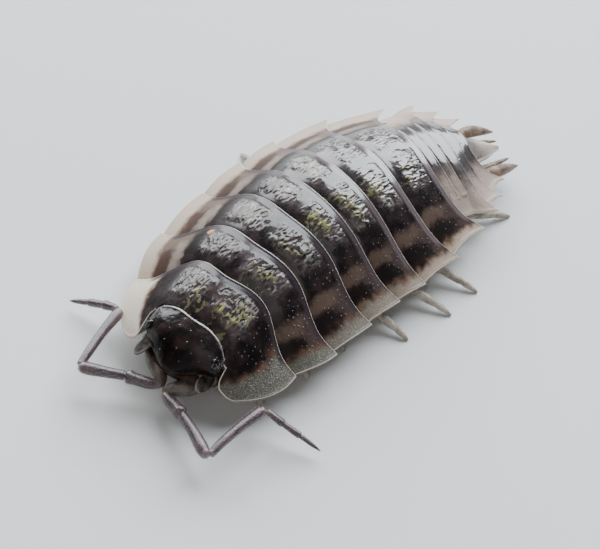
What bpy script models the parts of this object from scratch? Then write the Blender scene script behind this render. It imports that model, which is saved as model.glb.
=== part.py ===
"""A common shiny woodlouse, Oniscus asellus, as a still model at life size.

All sizes are in millimetres until a mesh is made. A place on the animal is
(u, s, z): u is sideways from the midline, towards its left side, s is the way
back along the midline, and z is the height above the floor. The midline bends
to the left, so bend() turns such a place into a world point.
"""
import math
from collections import namedtuple

import bmesh
import bpy

MM = 0.001
GAP = 0.15                  # kept between any two pieces
ORIGIN = (0.438, 8.254)     # world point below the middle of the animal's box

# The bend of the midline
BEND_FROM, BEND_TO = 3.5, 16.5
NEUTRAL = 8.7               # the station where the body points straight back
TURN = math.radians(2.26)   # for each millimetre of back

# The shell in section
MARGIN = 1.0                # height of the skirt's upper edge
SKIRT = 0.30                # thickness of the skirt
BELLY = 0.95                # height of the belly
BELLY_EDGE, SKIRT_EDGE = 0.5, 0.8
STEP = 0.10                 # each plate starts this much below the last one's rim
BULGE = 0.05
UNDERCUT = 0.30             # how far the joint between two plates slants
JOINS = (0.45, 0.8, 1.0)    # where a rim's sweep is given, as a share of its half width

# hind: station of the rim at the midline.  crest: height of the rim there.
# half, front_half: half width at the rim and at the front edge.
# sweep: how far the rim lies behind hind at JOINS.
# outer: how much wider the right side is, which is the outside of the bend.
# span: half width of the dome that the plate belongs to.  The first two tail plates are
# narrow strips of the last broad plate's dome.
Plate = namedtuple("Plate", "name hind crest half front_half outer sweep span")
HEAD_RIM = Plate("head", 2.52, 2.66, 1.66, 1.66, 1.0, (0.04, -0.15, -0.50), 1.66)
PLATES = (
    Plate("pereonite_1", 4.30, 2.98, 3.31, 1.97, 0.97, (0.13, -0.60, -0.70), 3.31),
    Plate("pereonite_2", 5.78, 3.24, 3.84, 3.20, 1.00, (0.08, -0.46, -0.40), 3.84),
    Plate("pereonite_3", 7.31, 3.37, 3.92, 3.66, 1.03, (0.11, -0.10, 0.05), 3.92),
    Plate("pereonite_4", 8.62, 3.45, 3.92, 3.76, 1.07, (0.07, 0.10, 0.40), 3.92),
    Plate("pereonite_5", 9.93, 3.42, 3.95, 3.80, 1.06, (0.08, 0.21, 0.47), 3.95),
    Plate("pereonite_6", 11.44, 3.22, 3.76, 3.86, 1.04, (0.00, 0.39, 0.94), 3.76),
    Plate("pereonite_7", 13.10, 2.86, 3.22, 3.58, 1.02, (0.00, 0.44, 1.10), 3.22),
    Plate("pleonite_1", 13.52, 2.72, 2.15, 2.20, 1.00, (0.00, 0.08, 0.20), 3.22),
    Plate("pleonite_2", 13.94, 2.58, 2.10, 2.10, 1.00, (0.00, 0.06, 0.15), 3.22),
    Plate("pleonite_3", 14.42, 2.42, 2.82, 2.60, 1.00, (0.00, 0.25, 0.70), 2.82),
    Plate("pleonite_4", 14.88, 2.26, 2.26, 2.50, 1.00, (0.00, 0.35, 0.88), 2.26),
    Plate("pleonite_5", 15.32, 2.08, 1.62, 1.98, 1.00, (0.00, 0.42, 0.95), 1.62),
)
COLUMNS, ROWS = 24, 4
CLASP_COLUMNS = 36

# The first plate's front lobes, which clasp the head
CLASP_IN, CLASP_TIP, CLASP_FRONT = 1.60, 1.97, 1.46
CLASP_CORNER = 0.9          # share of the half width where a lobe's tip starts to round off
CLASP_ROUND = 0.30          # how softly the lobes' corners turn
FLARE_END, FLARE_POWER = 3.4, 2.2

# Head sections: station, half width, top and bottom
HEAD = (
    (1.04, 0.20, 1.72, 1.50),
    (1.14, 0.40, 1.86, 1.34),
    (1.30, 0.64, 2.04, 1.20),
    (1.50, 0.96, 2.24, 1.05),
    (1.74, 1.30, 2.40, 0.97),
    (2.05, 1.47, 2.54, 0.94),
    (2.52, 1.51, 2.66, 0.98),
)
HEAD_ASIDE = 0.02           # how far the head lies to the left of the midline
HEAD_TURN = 0.07            # how far its hind edge runs back for each millimetre to the right
HEAD_MIDDLE = 0.45          # height of a section's widest place, as a share of the section
HEAD_SQUARE = 0.87          # below 1, a section is squarer than an ellipse
HEAD_SIDES = 24
LOBE_AT, LOBE_SIZE = (1.22, 1.36, 1.52), (0.32, 0.42, 0.18)
EYE_AT, EYE_OUT, EYE_SIZE = (1.30, 1.92, 1.95), (0.88, 0.0, 0.47), (0.25, 0.11)
EYE_RAISED = 0.10           # the flat back of an eye stands this far out from the place above
EYE_RINGS, EYE_SIDES = 6, 16

# Antennae: centre points and radii of the pieces, root first
ANTENNAE = {
    "right": {
        "base": (((-1.06, 1.66, 0.88), 0.24), ((-0.72, 1.38, 0.96), 0.29), ((-0.28, 1.14, 0.98), 0.22)),
        "arm": (((-0.18, 0.76, 0.84), 0.18), ((-0.42, 0.63, 0.88), 0.22), ((-0.93, 0.42, 1.00), 0.22),
                ((-1.08, 0.35, 1.03), 0.18), ((-1.30, 0.25, 1.05), 0.21), ((-2.30, -0.25, 1.15), 0.22)),
        "shaft": (((-2.46, -0.20, 1.16), 0.19), ((-2.53, 0.30, 1.15), 0.19), ((-2.70, 1.40, 1.11), 0.20),
                  ((-2.81, 2.12, 1.06), 0.20)),
        "flagellum": (((-2.98, 2.25, 1.02), 0.15), ((-3.50, 2.20, 0.84), 0.17), ((-3.95, 2.12, 0.68), 0.15),
                      ((-4.35, 2.02, 0.52), 0.11), ((-4.75, 1.92, 0.36), 0.04)),
    },
    "left": {
        "base": (((1.04, 1.60, 0.88), 0.24), ((0.80, 1.24, 0.96), 0.29), ((0.47, 0.95, 0.98), 0.22)),
        "arm": (((0.30, 0.60, 0.86), 0.18), ((0.55, 0.50, 0.90), 0.22), ((1.05, 0.33, 1.00), 0.22),
                ((1.20, 0.27, 1.03), 0.18), ((1.42, 0.17, 1.05), 0.21), ((2.66, -0.48, 1.15), 0.22)),
        "shaft": (((2.85, -0.40, 1.16), 0.19), ((2.91, 0.15, 1.15), 0.19), ((3.06, 1.10, 1.11), 0.20),
                  ((3.18, 1.80, 1.06), 0.20)),
        "flagellum": (((3.34, 1.94, 1.02), 0.15), ((3.90, 1.96, 0.84), 0.17), ((4.40, 2.00, 0.68), 0.15),
                      ((4.85, 2.04, 0.52), 0.11), ((5.28, 2.08, 0.36), 0.04)),
    },
}
ANTENNA_SIDES = 10

# Legs: the feet on the floor, front to back, as (u, s)
FEET = {
    "left": ((2.75, 2.45), (3.35, 4.35), (3.55, 6.30), (4.76, 8.50), (4.97, 10.80), (4.76, 12.50), (2.56, 16.00)),
    "right": ((2.75, 2.75), (3.30, 4.80), (3.45, 6.00), (3.80, 8.20), (5.05, 9.75), (3.95, 12.40), (3.00, 14.90)),
}
HIPS = (3.35, 4.95, 6.45, 7.90, 9.20, 10.60, 12.15)
HIP_OUT = (1.45, 1.85, 2.00, 2.05, 2.05, 1.95, 1.65)
# Along a leg: share of the way from hip to foot, height, radius.  It narrows at each joint.
LEG_RUN = ((0.0, 0.80, 0.24), (0.08, 0.58, 0.25), (0.24, 0.64, 0.23), (0.34, 0.66, 0.18), (0.40, 0.64, 0.23),
           (0.54, 0.54, 0.21), (0.60, 0.49, 0.16), (0.66, 0.44, 0.20), (0.78, 0.32, 0.18), (0.83, 0.26, 0.13),
           (0.87, 0.22, 0.15), (0.95, 0.13, 0.11), (1.0, 0.0, 0.10))
LEG_SIDES = 8

# Tail
TELSON_TIP, TELSON_TIP_HALF = 16.92, 0.05
TELSON_ROOT, TELSON_SWELL = 0.98, 0.12      # half width at the root, and how far the sides bulge behind it
TELSON_EDGE, TELSON_TIP_HEIGHT = 1.30, 0.95     # height of the sides at the root, and of the tip
TELSON_ARCH = 0.06          # how much higher than the sides the tip's middle is
TELSON_THICK, TELSON_TIP_THICK = 0.45, 0.22
TELSON_ROWS, TELSON_COLUMNS = 7, 8
TAIL_ASIDE = 0.12           # how far the tip of the tail lies to the left of the midline
UROPOD = (((1.00, 15.80, 0.98), 0.17), ((1.04, 16.10, 0.96), 0.22), ((1.02, 16.45, 0.90), 0.21),
          ((0.96, 16.85, 0.78), 0.14), ((0.90, 17.20, 0.66), 0.04))
GILLS_FROM, GILLS_TO = 13.2, 15.7
GILLS_HALF, GILLS_HIND_HALF = 0.95, 0.55
GILLS_TOP, GILLS_DEEP = 0.80, 0.30
GILL_PAIRS, GILL_STEP = 5, 0.08     # each pair starts this much above the last one's hind edge
GILL_ARCH, GILL_GROOVE = 0.10, 0.06     # rise of the outer edges, and depth of the groove between left and right
GILL_COLUMNS = 8
MOUTH_AT, MOUTH_SIZE = (0.0, 1.90, 0.62), (0.55, 0.45, 0.17)
SHARP = math.radians(40)    # edges that turn by more than this look sharp


def mix(a, b, k):
    """The value a share k of the way from a to b."""
    return a + (b - a) * k


def through(values, share):
    """A smooth curve from 0 that passes the three values at JOINS."""
    xs, ys = (0.0, *JOINS), (0.0, *values)
    slopes = [0.0]
    for i in (1, 2):
        slopes.append(((ys[i + 1] - ys[i]) / (xs[i + 1] - xs[i]) + (ys[i] - ys[i - 1]) / (xs[i] - xs[i - 1])) / 2)
    slopes.append((ys[3] - ys[2]) / (xs[3] - xs[2]))
    share = min(max(share, 0.0), 1.0)
    i = sum(share > x for x in JOINS[:2])
    wide = xs[i + 1] - xs[i]
    k = (share - xs[i]) / wide
    return ((2 * k ** 3 - 3 * k ** 2 + 1) * ys[i] + (k ** 3 - 2 * k ** 2 + k) * wide * slopes[i]
            + (3 * k ** 2 - 2 * k ** 3) * ys[i + 1] + (k ** 3 - k ** 2) * wide * slopes[i + 1])


def half_width(plate, u):
    """The half width of a plate's rim on the side that u is on."""
    return plate.half * (plate.outer if u < 0 else 1.0)


def rim(plate, u):
    """The station of a plate's hind edge, u off the midline."""
    return plate.hind + through(plate.sweep, abs(u) / half_width(plate, u))


def dome(share):
    """The shell's height in section, from 1 at the midline to 0 at the skirt's edge."""
    share = min(abs(share), 1.0)
    return 0.45 * (1 - share ** 2) + 0.275 * (1 + math.cos(math.pi * share ** 1.25))


def under(share, top):
    """The height of the underside: a level belly, then the inside of the skirt."""
    k = min(max((abs(share) - BELLY_EDGE) / (SKIRT_EDGE - BELLY_EDGE), 0.0), 1.0)
    return mix(min(BELLY, top - SKIRT), top - SKIRT, k)


def bend(place):
    """Turn a place on the animal into a world point, in metres."""
    u, s, z = place
    along = min(max(s, BEND_FROM), BEND_TO)
    angle = (along - NEUTRAL) * TURN
    x = (1 - math.cos(angle)) / TURN + (s - along) * math.sin(angle) + u * math.cos(angle)
    y = NEUTRAL + math.sin(angle) / TURN + (s - along) * math.cos(angle) - u * math.sin(angle)
    return ((x - ORIGIN[0]) * MM, (y - ORIGIN[1]) * MM, z * MM)


def material(name, colour, roughness):
    """A plain surface in one colour."""
    surface = bpy.data.materials.new(name)
    surface.use_nodes = True
    shader = surface.node_tree.nodes["Principled BSDF"]
    shader.inputs["Base Color"].default_value = (*colour, 1.0)
    shader.inputs["Roughness"].default_value = roughness
    shader.inputs["Metallic"].default_value = 0.0
    return surface


def node(name, points, faces, surface):
    """Make one named object from places on the animal."""
    mesh = bpy.data.meshes.new(name)
    mesh.from_pydata([bend(point) for point in points], [], faces)
    build = bmesh.new()
    build.from_mesh(mesh)
    bmesh.ops.recalc_face_normals(build, faces=build.faces)
    build.to_mesh(mesh)
    build.free()
    mesh.shade_smooth()
    mesh.set_sharp_from_angle(angle=SHARP)
    mesh.materials.append(surface)
    made = bpy.data.objects.new(name, mesh)
    bpy.context.scene.collection.objects.link(made)
    return made


def slab(top, bottom):
    """Close two grids of places, one above the other, into a solid of triangles."""
    rows, columns = len(top), len(top[0])
    points = [place for row in top for place in row] + [place for row in bottom for place in row]
    below = rows * columns
    faces = []
    for r in range(rows - 1):
        for c in range(columns - 1):
            a, b = r * columns + c, r * columns + c + 1
            d, e = a + columns, b + columns
            faces += [(a, b, e), (a, e, d)]
            faces += [(below + a, below + e, below + b), (below + a, below + d, below + e)]
    edge = [(0, c) for c in range(columns)] + [(r, columns - 1) for r in range(1, rows)]
    edge += [(rows - 1, c) for c in range(columns - 2, -1, -1)] + [(r, 0) for r in range(rows - 2, 0, -1)]
    ring = [r * columns + c for r, c in edge]
    for a, b in zip(ring, ring[1:] + ring[:1]):
        faces += [(a, below + a, below + b), (a, below + b, b)]
    return points, faces


def loft(rings):
    """Close a row of equal rings into a solid, with a fan on each end."""
    sides = len(rings[0])
    points = [place for ring in rings for place in ring]
    faces = []
    for r in range(len(rings) - 1):
        for i in range(sides):
            a, b = r * sides + i, r * sides + (i + 1) % sides
            faces += [(a, b, b + sides), (a, b + sides, a + sides)]
    for first in (0, (len(rings) - 1) * sides):
        ring = points[first:first + sides]
        points.append(tuple(sum(place[axis] for place in ring) / sides for axis in range(3)))
        faces += [(first + i, first + (i + 1) % sides, len(points) - 1) for i in range(sides)]
    return points, faces


def unit(vector):
    """The vector at length 1."""
    size = math.sqrt(sum(v * v for v in vector))
    return tuple(v / size for v in vector)


def cross(a, b):
    """The cross product of two vectors."""
    return (a[1] * b[2] - a[2] * b[1], a[2] * b[0] - a[0] * b[2], a[0] * b[1] - a[1] * b[0])


def tube(run, sides, first_way=None, last_way=None):
    """A round limb along a run of (centre, radius), with its end rings facing the ways given."""
    centres = [centre for centre, radius in run]
    steps = [unit(tuple(b[i] - a[i] for i in range(3))) for a, b in zip(centres, centres[1:])]
    ways = [first_way or steps[0]]
    ways += [unit(tuple(a[i] + b[i] for i in range(3))) for a, b in zip(steps, steps[1:])]
    ways += [last_way or steps[-1]]
    side = unit(cross(steps[0], (0.0, 0.0, 1.0)))
    rings = []
    for (centre, radius), way in zip(run, ways):
        lift = unit(cross(side, way))
        side = unit(cross(way, lift))
        turns = [2 * math.pi * i / sides for i in range(sides)]
        rings.append([tuple(centre[i] + radius * (math.cos(a) * side[i] + math.sin(a) * lift[i]) for i in range(3))
                      for a in turns])
    return loft(rings)


def ball(centre, size, across=12, around=16):
    """An ellipsoid with its poles above and below."""
    rings = []
    for i in range(1, across):
        tilt = math.pi * i / across
        rings.append([(centre[0] + size[0] * math.sin(tilt) * math.cos(2 * math.pi * j / around),
                       centre[1] + size[1] * math.sin(tilt) * math.sin(2 * math.pi * j / around),
                       centre[2] + size[2] * math.cos(tilt)) for j in range(around)])
    return loft(rings)


def plate_solid(front, plate):
    """A plate of the back with the belly under it, from the plate in front to its own rim."""
    top, bottom = [], []
    for row in range(ROWS + 1):
        k = row / ROWS
        narrow = mix(1.0, plate.front_half / plate.half, (1 - k) ** 2)
        crest = mix(front.crest - STEP, plate.crest, k) + BULGE * 4 * k * (1 - k)
        top.append([])
        bottom.append([])
        for column in range(COLUMNS + 1):
            share = 2 * column / COLUMNS - 1
            edge = share * half_width(plate, share)
            widest = half_width(front, share)
            reach = min(max(edge * plate.front_half / plate.half, -widest), widest)
            s = mix(rim(front, reach) + GAP, rim(plate, edge), k)
            z = MARGIN + (crest - MARGIN) * dome(share * plate.half / plate.span)
            top[-1].append((edge * narrow, s, z))
            bottom[-1].append((edge * narrow, s - UNDERCUT * dome(share), under(share, z)))
    return slab(top, bottom)


def flare(s):
    """The half width of the first plate at station s."""
    share = min(max((FLARE_END - s) / (FLARE_END - CLASP_FRONT), 0.0), 1.0)
    return PLATES[0].half - (PLATES[0].half - CLASP_TIP) * share ** FLARE_POWER


def clasp(share):
    """The first plate's front edge: behind the head, beside it, then round the lobe."""
    beside_rim = share * flare(HEAD_RIM.hind)
    behind = rim(HEAD_RIM, beside_rim) - HEAD_TURN * beside_rim + GAP
    share = abs(share)
    wide = CLASP_IN / max(share, 0.01)
    narrowing = min(max((PLATES[0].half - wide) / (PLATES[0].half - CLASP_TIP), 0.0), 1.0)
    beside = FLARE_END - (FLARE_END - CLASP_FRONT) * narrowing ** (1 / FLARE_POWER)
    inner = min(behind, beside)
    rounded = max(share - CLASP_CORNER, 0.0) / (1 - CLASP_CORNER)
    tip = CLASP_FRONT + CLASP_ROUND * rounded ** 2 / 2
    near = max(CLASP_ROUND - abs(inner - tip), 0.0) / CLASP_ROUND
    return max(inner, tip) + near ** 2 * CLASP_ROUND / 4


def first_plate():
    """The plate behind the head, whose front corners reach forward beside it."""
    plate = PLATES[0]
    top, bottom = [], []
    for row in range(ROWS + 3):
        k = row / (ROWS + 2)
        top.append([])
        bottom.append([])
        for column in range(CLASP_COLUMNS + 1):
            share = 2 * column / CLASP_COLUMNS - 1
            edge = share * half_width(plate, share)
            s = mix(clasp(share), rim(plate, edge), k)
            rise = min(max((s - HEAD_RIM.hind) / (plate.hind - HEAD_RIM.hind), 0.0), 1.0)
            z = MARGIN + (mix(HEAD_RIM.crest - STEP, plate.crest, rise) - MARGIN) * dome(share)
            u = edge * flare(s) / plate.half
            top[-1].append((u, s, z))
            bottom[-1].append((u, s - UNDERCUT * k * dome(share), under(share, z)))
    return slab(top, bottom)


def head_ring(s, half, top, bottom, weight):
    """One section of the head, with its station swept like the rim by the weight."""
    middle = mix(bottom, top, HEAD_MIDDLE)
    ring = []
    for i in range(HEAD_SIDES):
        angle = 2 * math.pi * i / HEAD_SIDES
        across, lift = math.cos(angle), math.sin(angle)
        u = half * math.copysign(abs(across) ** HEAD_SQUARE, across)
        height = top - middle if lift > 0 else middle - bottom
        z = middle + height * math.copysign(abs(lift) ** HEAD_SQUARE, lift)
        swept = through(HEAD_RIM.sweep, abs(u) / HEAD_RIM.half) - HEAD_TURN * u
        ring.append((u + HEAD_ASIDE, s + weight * swept, z))
    return ring


def union(pieces):
    """Join closed pieces into one by a Boolean, worked at 1 unit to the millimetre."""
    gathered = bpy.data.collections.new("pieces")
    objects = []
    for points, faces in pieces:
        mesh = bpy.data.meshes.new("piece")
        mesh.from_pydata(points, [], faces)
        build = bmesh.new()
        build.from_mesh(mesh)
        bmesh.ops.recalc_face_normals(build, faces=build.faces)
        build.to_mesh(mesh)
        build.free()
        objects.append(bpy.data.objects.new("piece", mesh))
    body = objects[0]
    bpy.context.scene.collection.objects.link(body)
    for piece in objects[1:]:
        gathered.objects.link(piece)
    bpy.context.scene.collection.children.link(gathered)
    join = body.modifiers.new("join", "BOOLEAN")
    join.operation = "UNION"
    join.operand_type = "COLLECTION"
    join.collection = gathered
    join.solver = "EXACT"
    shape = bpy.data.meshes.new_from_object(body.evaluated_get(bpy.context.evaluated_depsgraph_get()))
    build = bmesh.new()
    build.from_mesh(shape)
    bmesh.ops.triangulate(build, faces=build.faces)
    points = [tuple(vertex.co) for vertex in build.verts]
    faces = [tuple(vertex.index for vertex in face.verts) for face in build.faces]
    build.free()
    for piece in objects:
        bpy.data.objects.remove(piece)
    bpy.data.collections.remove(gathered)
    return points, faces


def head_solid():
    """The head, with a rounded lobe in front of each eye."""
    last = len(HEAD) - 1
    rings = [head_ring(*section, (i / last) ** 3) for i, section in enumerate(HEAD)]
    lobes = [ball((side * LOBE_AT[0] + HEAD_ASIDE, *LOBE_AT[1:]), LOBE_SIZE) for side in (-1, 1)]
    return union([loft(rings), *lobes])


def eye_solid(side):
    """A low dome whose flat back faces the side of the head."""
    out = unit((side * EYE_OUT[0], EYE_OUT[1], EYE_OUT[2]))
    up = unit(cross((0.0, 1.0, 0.0), out))
    centre = (side * EYE_AT[0] + HEAD_ASIDE, *EYE_AT[1:])
    wide, high = EYE_SIZE
    rings = []
    for i in range(EYE_RINGS):
        tilt = math.pi / 2 * i / (EYE_RINGS - 0.5)
        far, near = EYE_RAISED + high * math.sin(tilt), wide * math.cos(tilt)
        ring = []
        for j in range(EYE_SIDES):
            angle = 2 * math.pi * j / EYE_SIDES
            ring.append(tuple(centre[a] + far * out[a] + near * (math.cos(angle) * (0.0, 1.0, 0.0)[a]
                                                                 + math.sin(angle) * up[a]) for a in range(3)))
        rings.append(ring)
    return loft(rings)


def leg_solid(side, number):
    """One leg, from a flat hip under the plate to a flat foot on the floor."""
    sign = 1 if side == "left" else -1
    hip_u, hip_s = HIP_OUT[number], HIPS[number]
    foot_u, foot_s = FEET[side][number]
    run = [((sign * mix(hip_u, foot_u, k), mix(hip_s, foot_s, k), z), radius) for k, z, radius in LEG_RUN]
    down = (0.0, 0.0, -1.0)
    return tube(run, LEG_SIDES, down, down)


def telson_solid():
    """The pointed tail plate."""
    front = PLATES[-1]
    top, bottom = [], []
    for row in range(TELSON_ROWS + 1):
        k = row / TELSON_ROWS
        half = mix(TELSON_ROOT, TELSON_TIP_HALF, k ** 0.55) + TELSON_SWELL * math.sin(math.pi * k) ** 2
        crest = mix(front.crest - STEP, TELSON_TIP_HEIGHT, k ** 0.8)
        edge = mix(TELSON_EDGE, TELSON_TIP_HEIGHT - TELSON_ARCH, k)
        thick = mix(TELSON_THICK, TELSON_TIP_THICK, k)
        top.append([])
        bottom.append([])
        for column in range(TELSON_COLUMNS + 1):
            share = 2 * column / TELSON_COLUMNS - 1
            start = rim(front, share * TELSON_ROOT) + GAP
            z = mix(edge, crest, 1 - share ** 2)
            s = mix(start, TELSON_TIP, k)
            u = share * half + TAIL_ASIDE * k
            top[-1].append((u, s, z))
            bottom[-1].append((u, s - UNDERCUT * (1 - k) * (1 - share ** 2), z - thick))
    return slab(top, bottom)


def gills_solid():
    """The flat breathing plates under the tail, overlapping like tiles."""
    top, bottom = [], []
    across = [2 * column / GILL_COLUMNS - 1 for column in range(GILL_COLUMNS + 1)]
    for pair in range(GILL_PAIRS):
        for hind in (False, True):
            k = (pair + (1 - GILL_STEP if hind else 0.0)) / GILL_PAIRS
            half = mix(GILLS_HALF, GILLS_HIND_HALF, k ** 2)
            deep = GILLS_DEEP if hind else GILLS_DEEP - GILL_STEP
            s = mix(GILLS_FROM, GILLS_TO, k)
            top.append([(share * half, s, GILLS_TOP - GILL_GROOVE * share ** 2) for share in across])
            bottom.append([(share * half, s, GILLS_TOP - deep + GILL_ARCH * share ** 4
                            + GILL_GROOVE * (1 - abs(share)) ** 4) for share in across])
    return slab(top, bottom)


def build():
    """Make every node."""
    for old in list(bpy.data.objects):
        bpy.data.objects.remove(old, do_unlink=True)
    shell = material("dark_shell", (0.045, 0.030, 0.030), 0.30)
    tail_shell = material("tail_shell", (0.16, 0.11, 0.09), 0.35)
    face = material("head_shell", (0.030, 0.020, 0.020), 0.30)
    bead = material("eye", (0.010, 0.010, 0.012), 0.10)
    horn = material("antenna_brown", (0.17, 0.095, 0.085), 0.45)
    pale = material("pale_leg", (0.48, 0.39, 0.28), 0.50)

    fronts = (HEAD_RIM, *PLATES)
    for front, plate in zip(fronts, PLATES):
        solid = first_plate() if front is HEAD_RIM else plate_solid(front, plate)
        node(plate.name, *solid, tail_shell if plate.name.startswith("pleonite") else shell)
    node("telson", *telson_solid(), tail_shell)
    node("head", *head_solid(), face)
    node("mouthparts", *ball(MOUTH_AT, MOUTH_SIZE), pale)
    node("pleopods", *gills_solid(), pale)
    for side, sign in (("left", 1), ("right", -1)):
        node(f"eye_{side}", *eye_solid(sign), bead)
        uropod = [((sign * u + TAIL_ASIDE, s, z), radius) for (u, s, z), radius in UROPOD]
        node(f"uropod_{side}", *tube(uropod, ANTENNA_SIDES), horn)
        for part, run in ANTENNAE[side].items():
            node(f"antenna_{side}_{part}", *tube(run, ANTENNA_SIDES), horn)
        for number in range(len(HIPS)):
            node(f"leg_{side}_{number + 1}", *leg_solid(side, number), pale)


build()
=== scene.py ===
# %% [markdown]
# # A woodlouse at life size
# A woodlouse is a land crustacean in a coat of thirteen plates, which overlap like roof tiles from the head
# back. This notebook takes the plain solids of a still model and dresses each of them: the shell with its
# wrinkles, granules and cream rims, the beaded eyes, the bristly antennae, the legs and the tail.
# The first cell loads the solids as a fixed frame. Everything after it is made where the frame says.

import math
from collections import namedtuple

import bmesh
import bpy
import numpy as np
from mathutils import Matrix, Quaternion, Vector


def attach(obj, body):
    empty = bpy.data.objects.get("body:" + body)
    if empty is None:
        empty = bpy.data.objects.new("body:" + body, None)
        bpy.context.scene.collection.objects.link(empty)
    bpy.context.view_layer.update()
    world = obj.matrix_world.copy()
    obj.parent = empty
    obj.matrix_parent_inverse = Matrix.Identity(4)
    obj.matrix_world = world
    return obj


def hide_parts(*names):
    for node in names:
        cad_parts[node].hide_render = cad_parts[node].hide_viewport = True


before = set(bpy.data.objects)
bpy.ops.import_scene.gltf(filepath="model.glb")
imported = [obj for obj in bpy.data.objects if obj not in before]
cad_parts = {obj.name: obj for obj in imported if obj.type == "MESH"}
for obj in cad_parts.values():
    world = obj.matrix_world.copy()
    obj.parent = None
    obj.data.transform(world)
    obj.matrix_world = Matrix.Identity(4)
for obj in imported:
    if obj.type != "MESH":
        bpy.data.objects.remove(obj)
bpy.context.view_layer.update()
MM = 0.001                  # one millimetre in metres
print("solids:", len(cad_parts))

# %% [markdown]
# ## The camera
# The camera looks down on the animal's left front corner from about five centimetres away. A direction is
# easier to read as two angles than as a matrix, so the script turns an azimuth and a height into a vector and
# lets Blender's track quaternion aim the camera along it. The last turn rolls the picture a little.

# %% Camera
AZIMUTH, HEIGHT, ROLL = math.radians(42.466), math.radians(52.967), math.radians(4.689)
CAMERA_AT = (20.815, -23.316, 41.008)   # in millimetres; the animal stands over the origin
LENS = 89.013


def put(name, data):
    """A new object in the scene, at the origin."""
    made = bpy.data.objects.new(name, data)
    bpy.context.scene.collection.objects.link(made)
    return made


away = Vector((math.sin(AZIMUTH) * math.cos(HEIGHT), -math.cos(AZIMUTH) * math.cos(HEIGHT),
               math.sin(HEIGHT)))
camera = put("camera", bpy.data.cameras.new("camera"))
camera.rotation_mode = "QUATERNION"
camera.rotation_quaternion = (-away).to_track_quat("-Z", "Y") @ Quaternion((0, 0, 1), ROLL)
camera.location = Vector(CAMERA_AT) * MM
camera.data.lens = LENS
camera.data.clip_start = MM
bpy.context.scene.camera = camera
print("camera:", round(camera.location.length / MM, 1), "mm from the floor below the animal")

# %% [markdown]
# ## Sockets that work like numbers
# A shader or a Geometry Nodes tree is arithmetic drawn as boxes. Adding each box by hand takes four lines,
# and the sum gets lost among them. This class wraps one socket and gives it Python's operators, so that
# `1 - mask * 0.5` adds the Math nodes itself. Vectors and colours go to Vector Math, because a Math node
# would turn them grey. Any other node comes from `node`, which takes its type, its settings and its inputs.


# %% Socket wrapper
class Wire:
    """One socket of a node tree, on which Python's operators work."""

    def __init__(self, tree, socket=None):
        self.tree, self.socket = tree, socket

    def node(self, kind, settings=None, inputs=None, output=0):
        """Add a node: first its settings, then the values or wires of its sockets."""
        made = self.tree.nodes.new(kind)
        for name, value in (settings or {}).items():
            setattr(made, name, value)
        for name, value in (inputs or {}).items():
            if isinstance(value, Wire):
                self.tree.links.new(value.socket, made.inputs[name])
            else:
                made.inputs[name].default_value = value
        return Wire(self.tree, made.outputs[output])

    def output(self, name):
        """Another output of the node that this socket is on."""
        return Wire(self.tree, self.socket.node.outputs[name])

    def maths(self, operation, *values):
        """A Math node, or a Vector Math node where any of the values is a vector."""
        wide = any(isinstance(v, tuple) or isinstance(v, Wire) and v.socket.type in ("VECTOR", "RGBA")
                   for v in values)
        if wide:
            values = [(v, v, v) if isinstance(v, (int, float)) else v for v in values]
        kind = "ShaderNodeVectorMath" if wide else "ShaderNodeMath"
        return self.node(kind, {"operation": operation}, dict(enumerate(values)))

    def __add__(self, other):
        return self.maths("ADD", self, other)

    def __sub__(self, other):
        return self.maths("SUBTRACT", self, other)

    def __rsub__(self, other):
        return self.maths("SUBTRACT", other, self)

    def __mul__(self, other):
        return self.maths("MULTIPLY", self, other)

    def __truediv__(self, other):
        return self.maths("DIVIDE", self, other)

    def __pow__(self, other):
        return self.maths("POWER", self, other)

    def __abs__(self):
        return self.maths("ABSOLUTE", self)

    __radd__, __rmul__ = __add__, __mul__

    def axis(self, name):
        """One number of a vector, its X, Y or Z."""
        return self.node("ShaderNodeSeparateXYZ", {}, {0: self}, name)

    def rise(self, low, high):
        """A soft step from 0 where this is low to 1 where it is high."""
        return self.node("ShaderNodeMapRange", {"interpolation_type": "SMOOTHSTEP"},
                         {0: self, 1: low, 2: high, 3: 0.0, 4: 1.0})

    def between(self, low, high, slope):
        """1 between low and high, 0 outside them, with soft shoulders."""
        return self.rise(low - slope, low + slope) * (1 - self.rise(high - slope, high + slope))

    def colours(self, first, second):
        """Mix two colours by this share."""
        first, second = [(*c, 1.0) if isinstance(c, tuple) else c for c in (first, second)]
        return self.node("ShaderNodeMix", {"data_type": "RGBA"}, {0: self, 6: first, 7: second}, 2)

    def noise(self, scale, detail=2.0, distortion=0.0, seed=0.0):
        """Noise from 0 to 1 at this place, with scale swells to a millimetre."""
        return self.node("ShaderNodeTexNoise", {"noise_dimensions": "4D"},
                         {"Vector": self, "W": seed, "Scale": scale, "Detail": detail,
                          "Distortion": distortion})


print("socket wrapper: ready")

# %% [markdown]
# ## Attributes and finishes
# A pattern that belongs to the animal, such as the dark blotch beside each skirt, has to follow its plates.
# A plate's mesh therefore carries a few attributes of its own: `place` in millimetres on the straightened
# body, `across` from -1 to 1, `along` the plate from 0 to 1, the distance to the nearest free `edge` and to
# the `hind` rim alone, and `below`, which is 1 on the underside. The other meshes have `place` and what their
# own tree and finish need. A finish is a function that turns these into the sockets of one Principled BSDF.
# Whatever is the same all over, such as the coat's roughness, is set on the shader's own socket.


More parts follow.
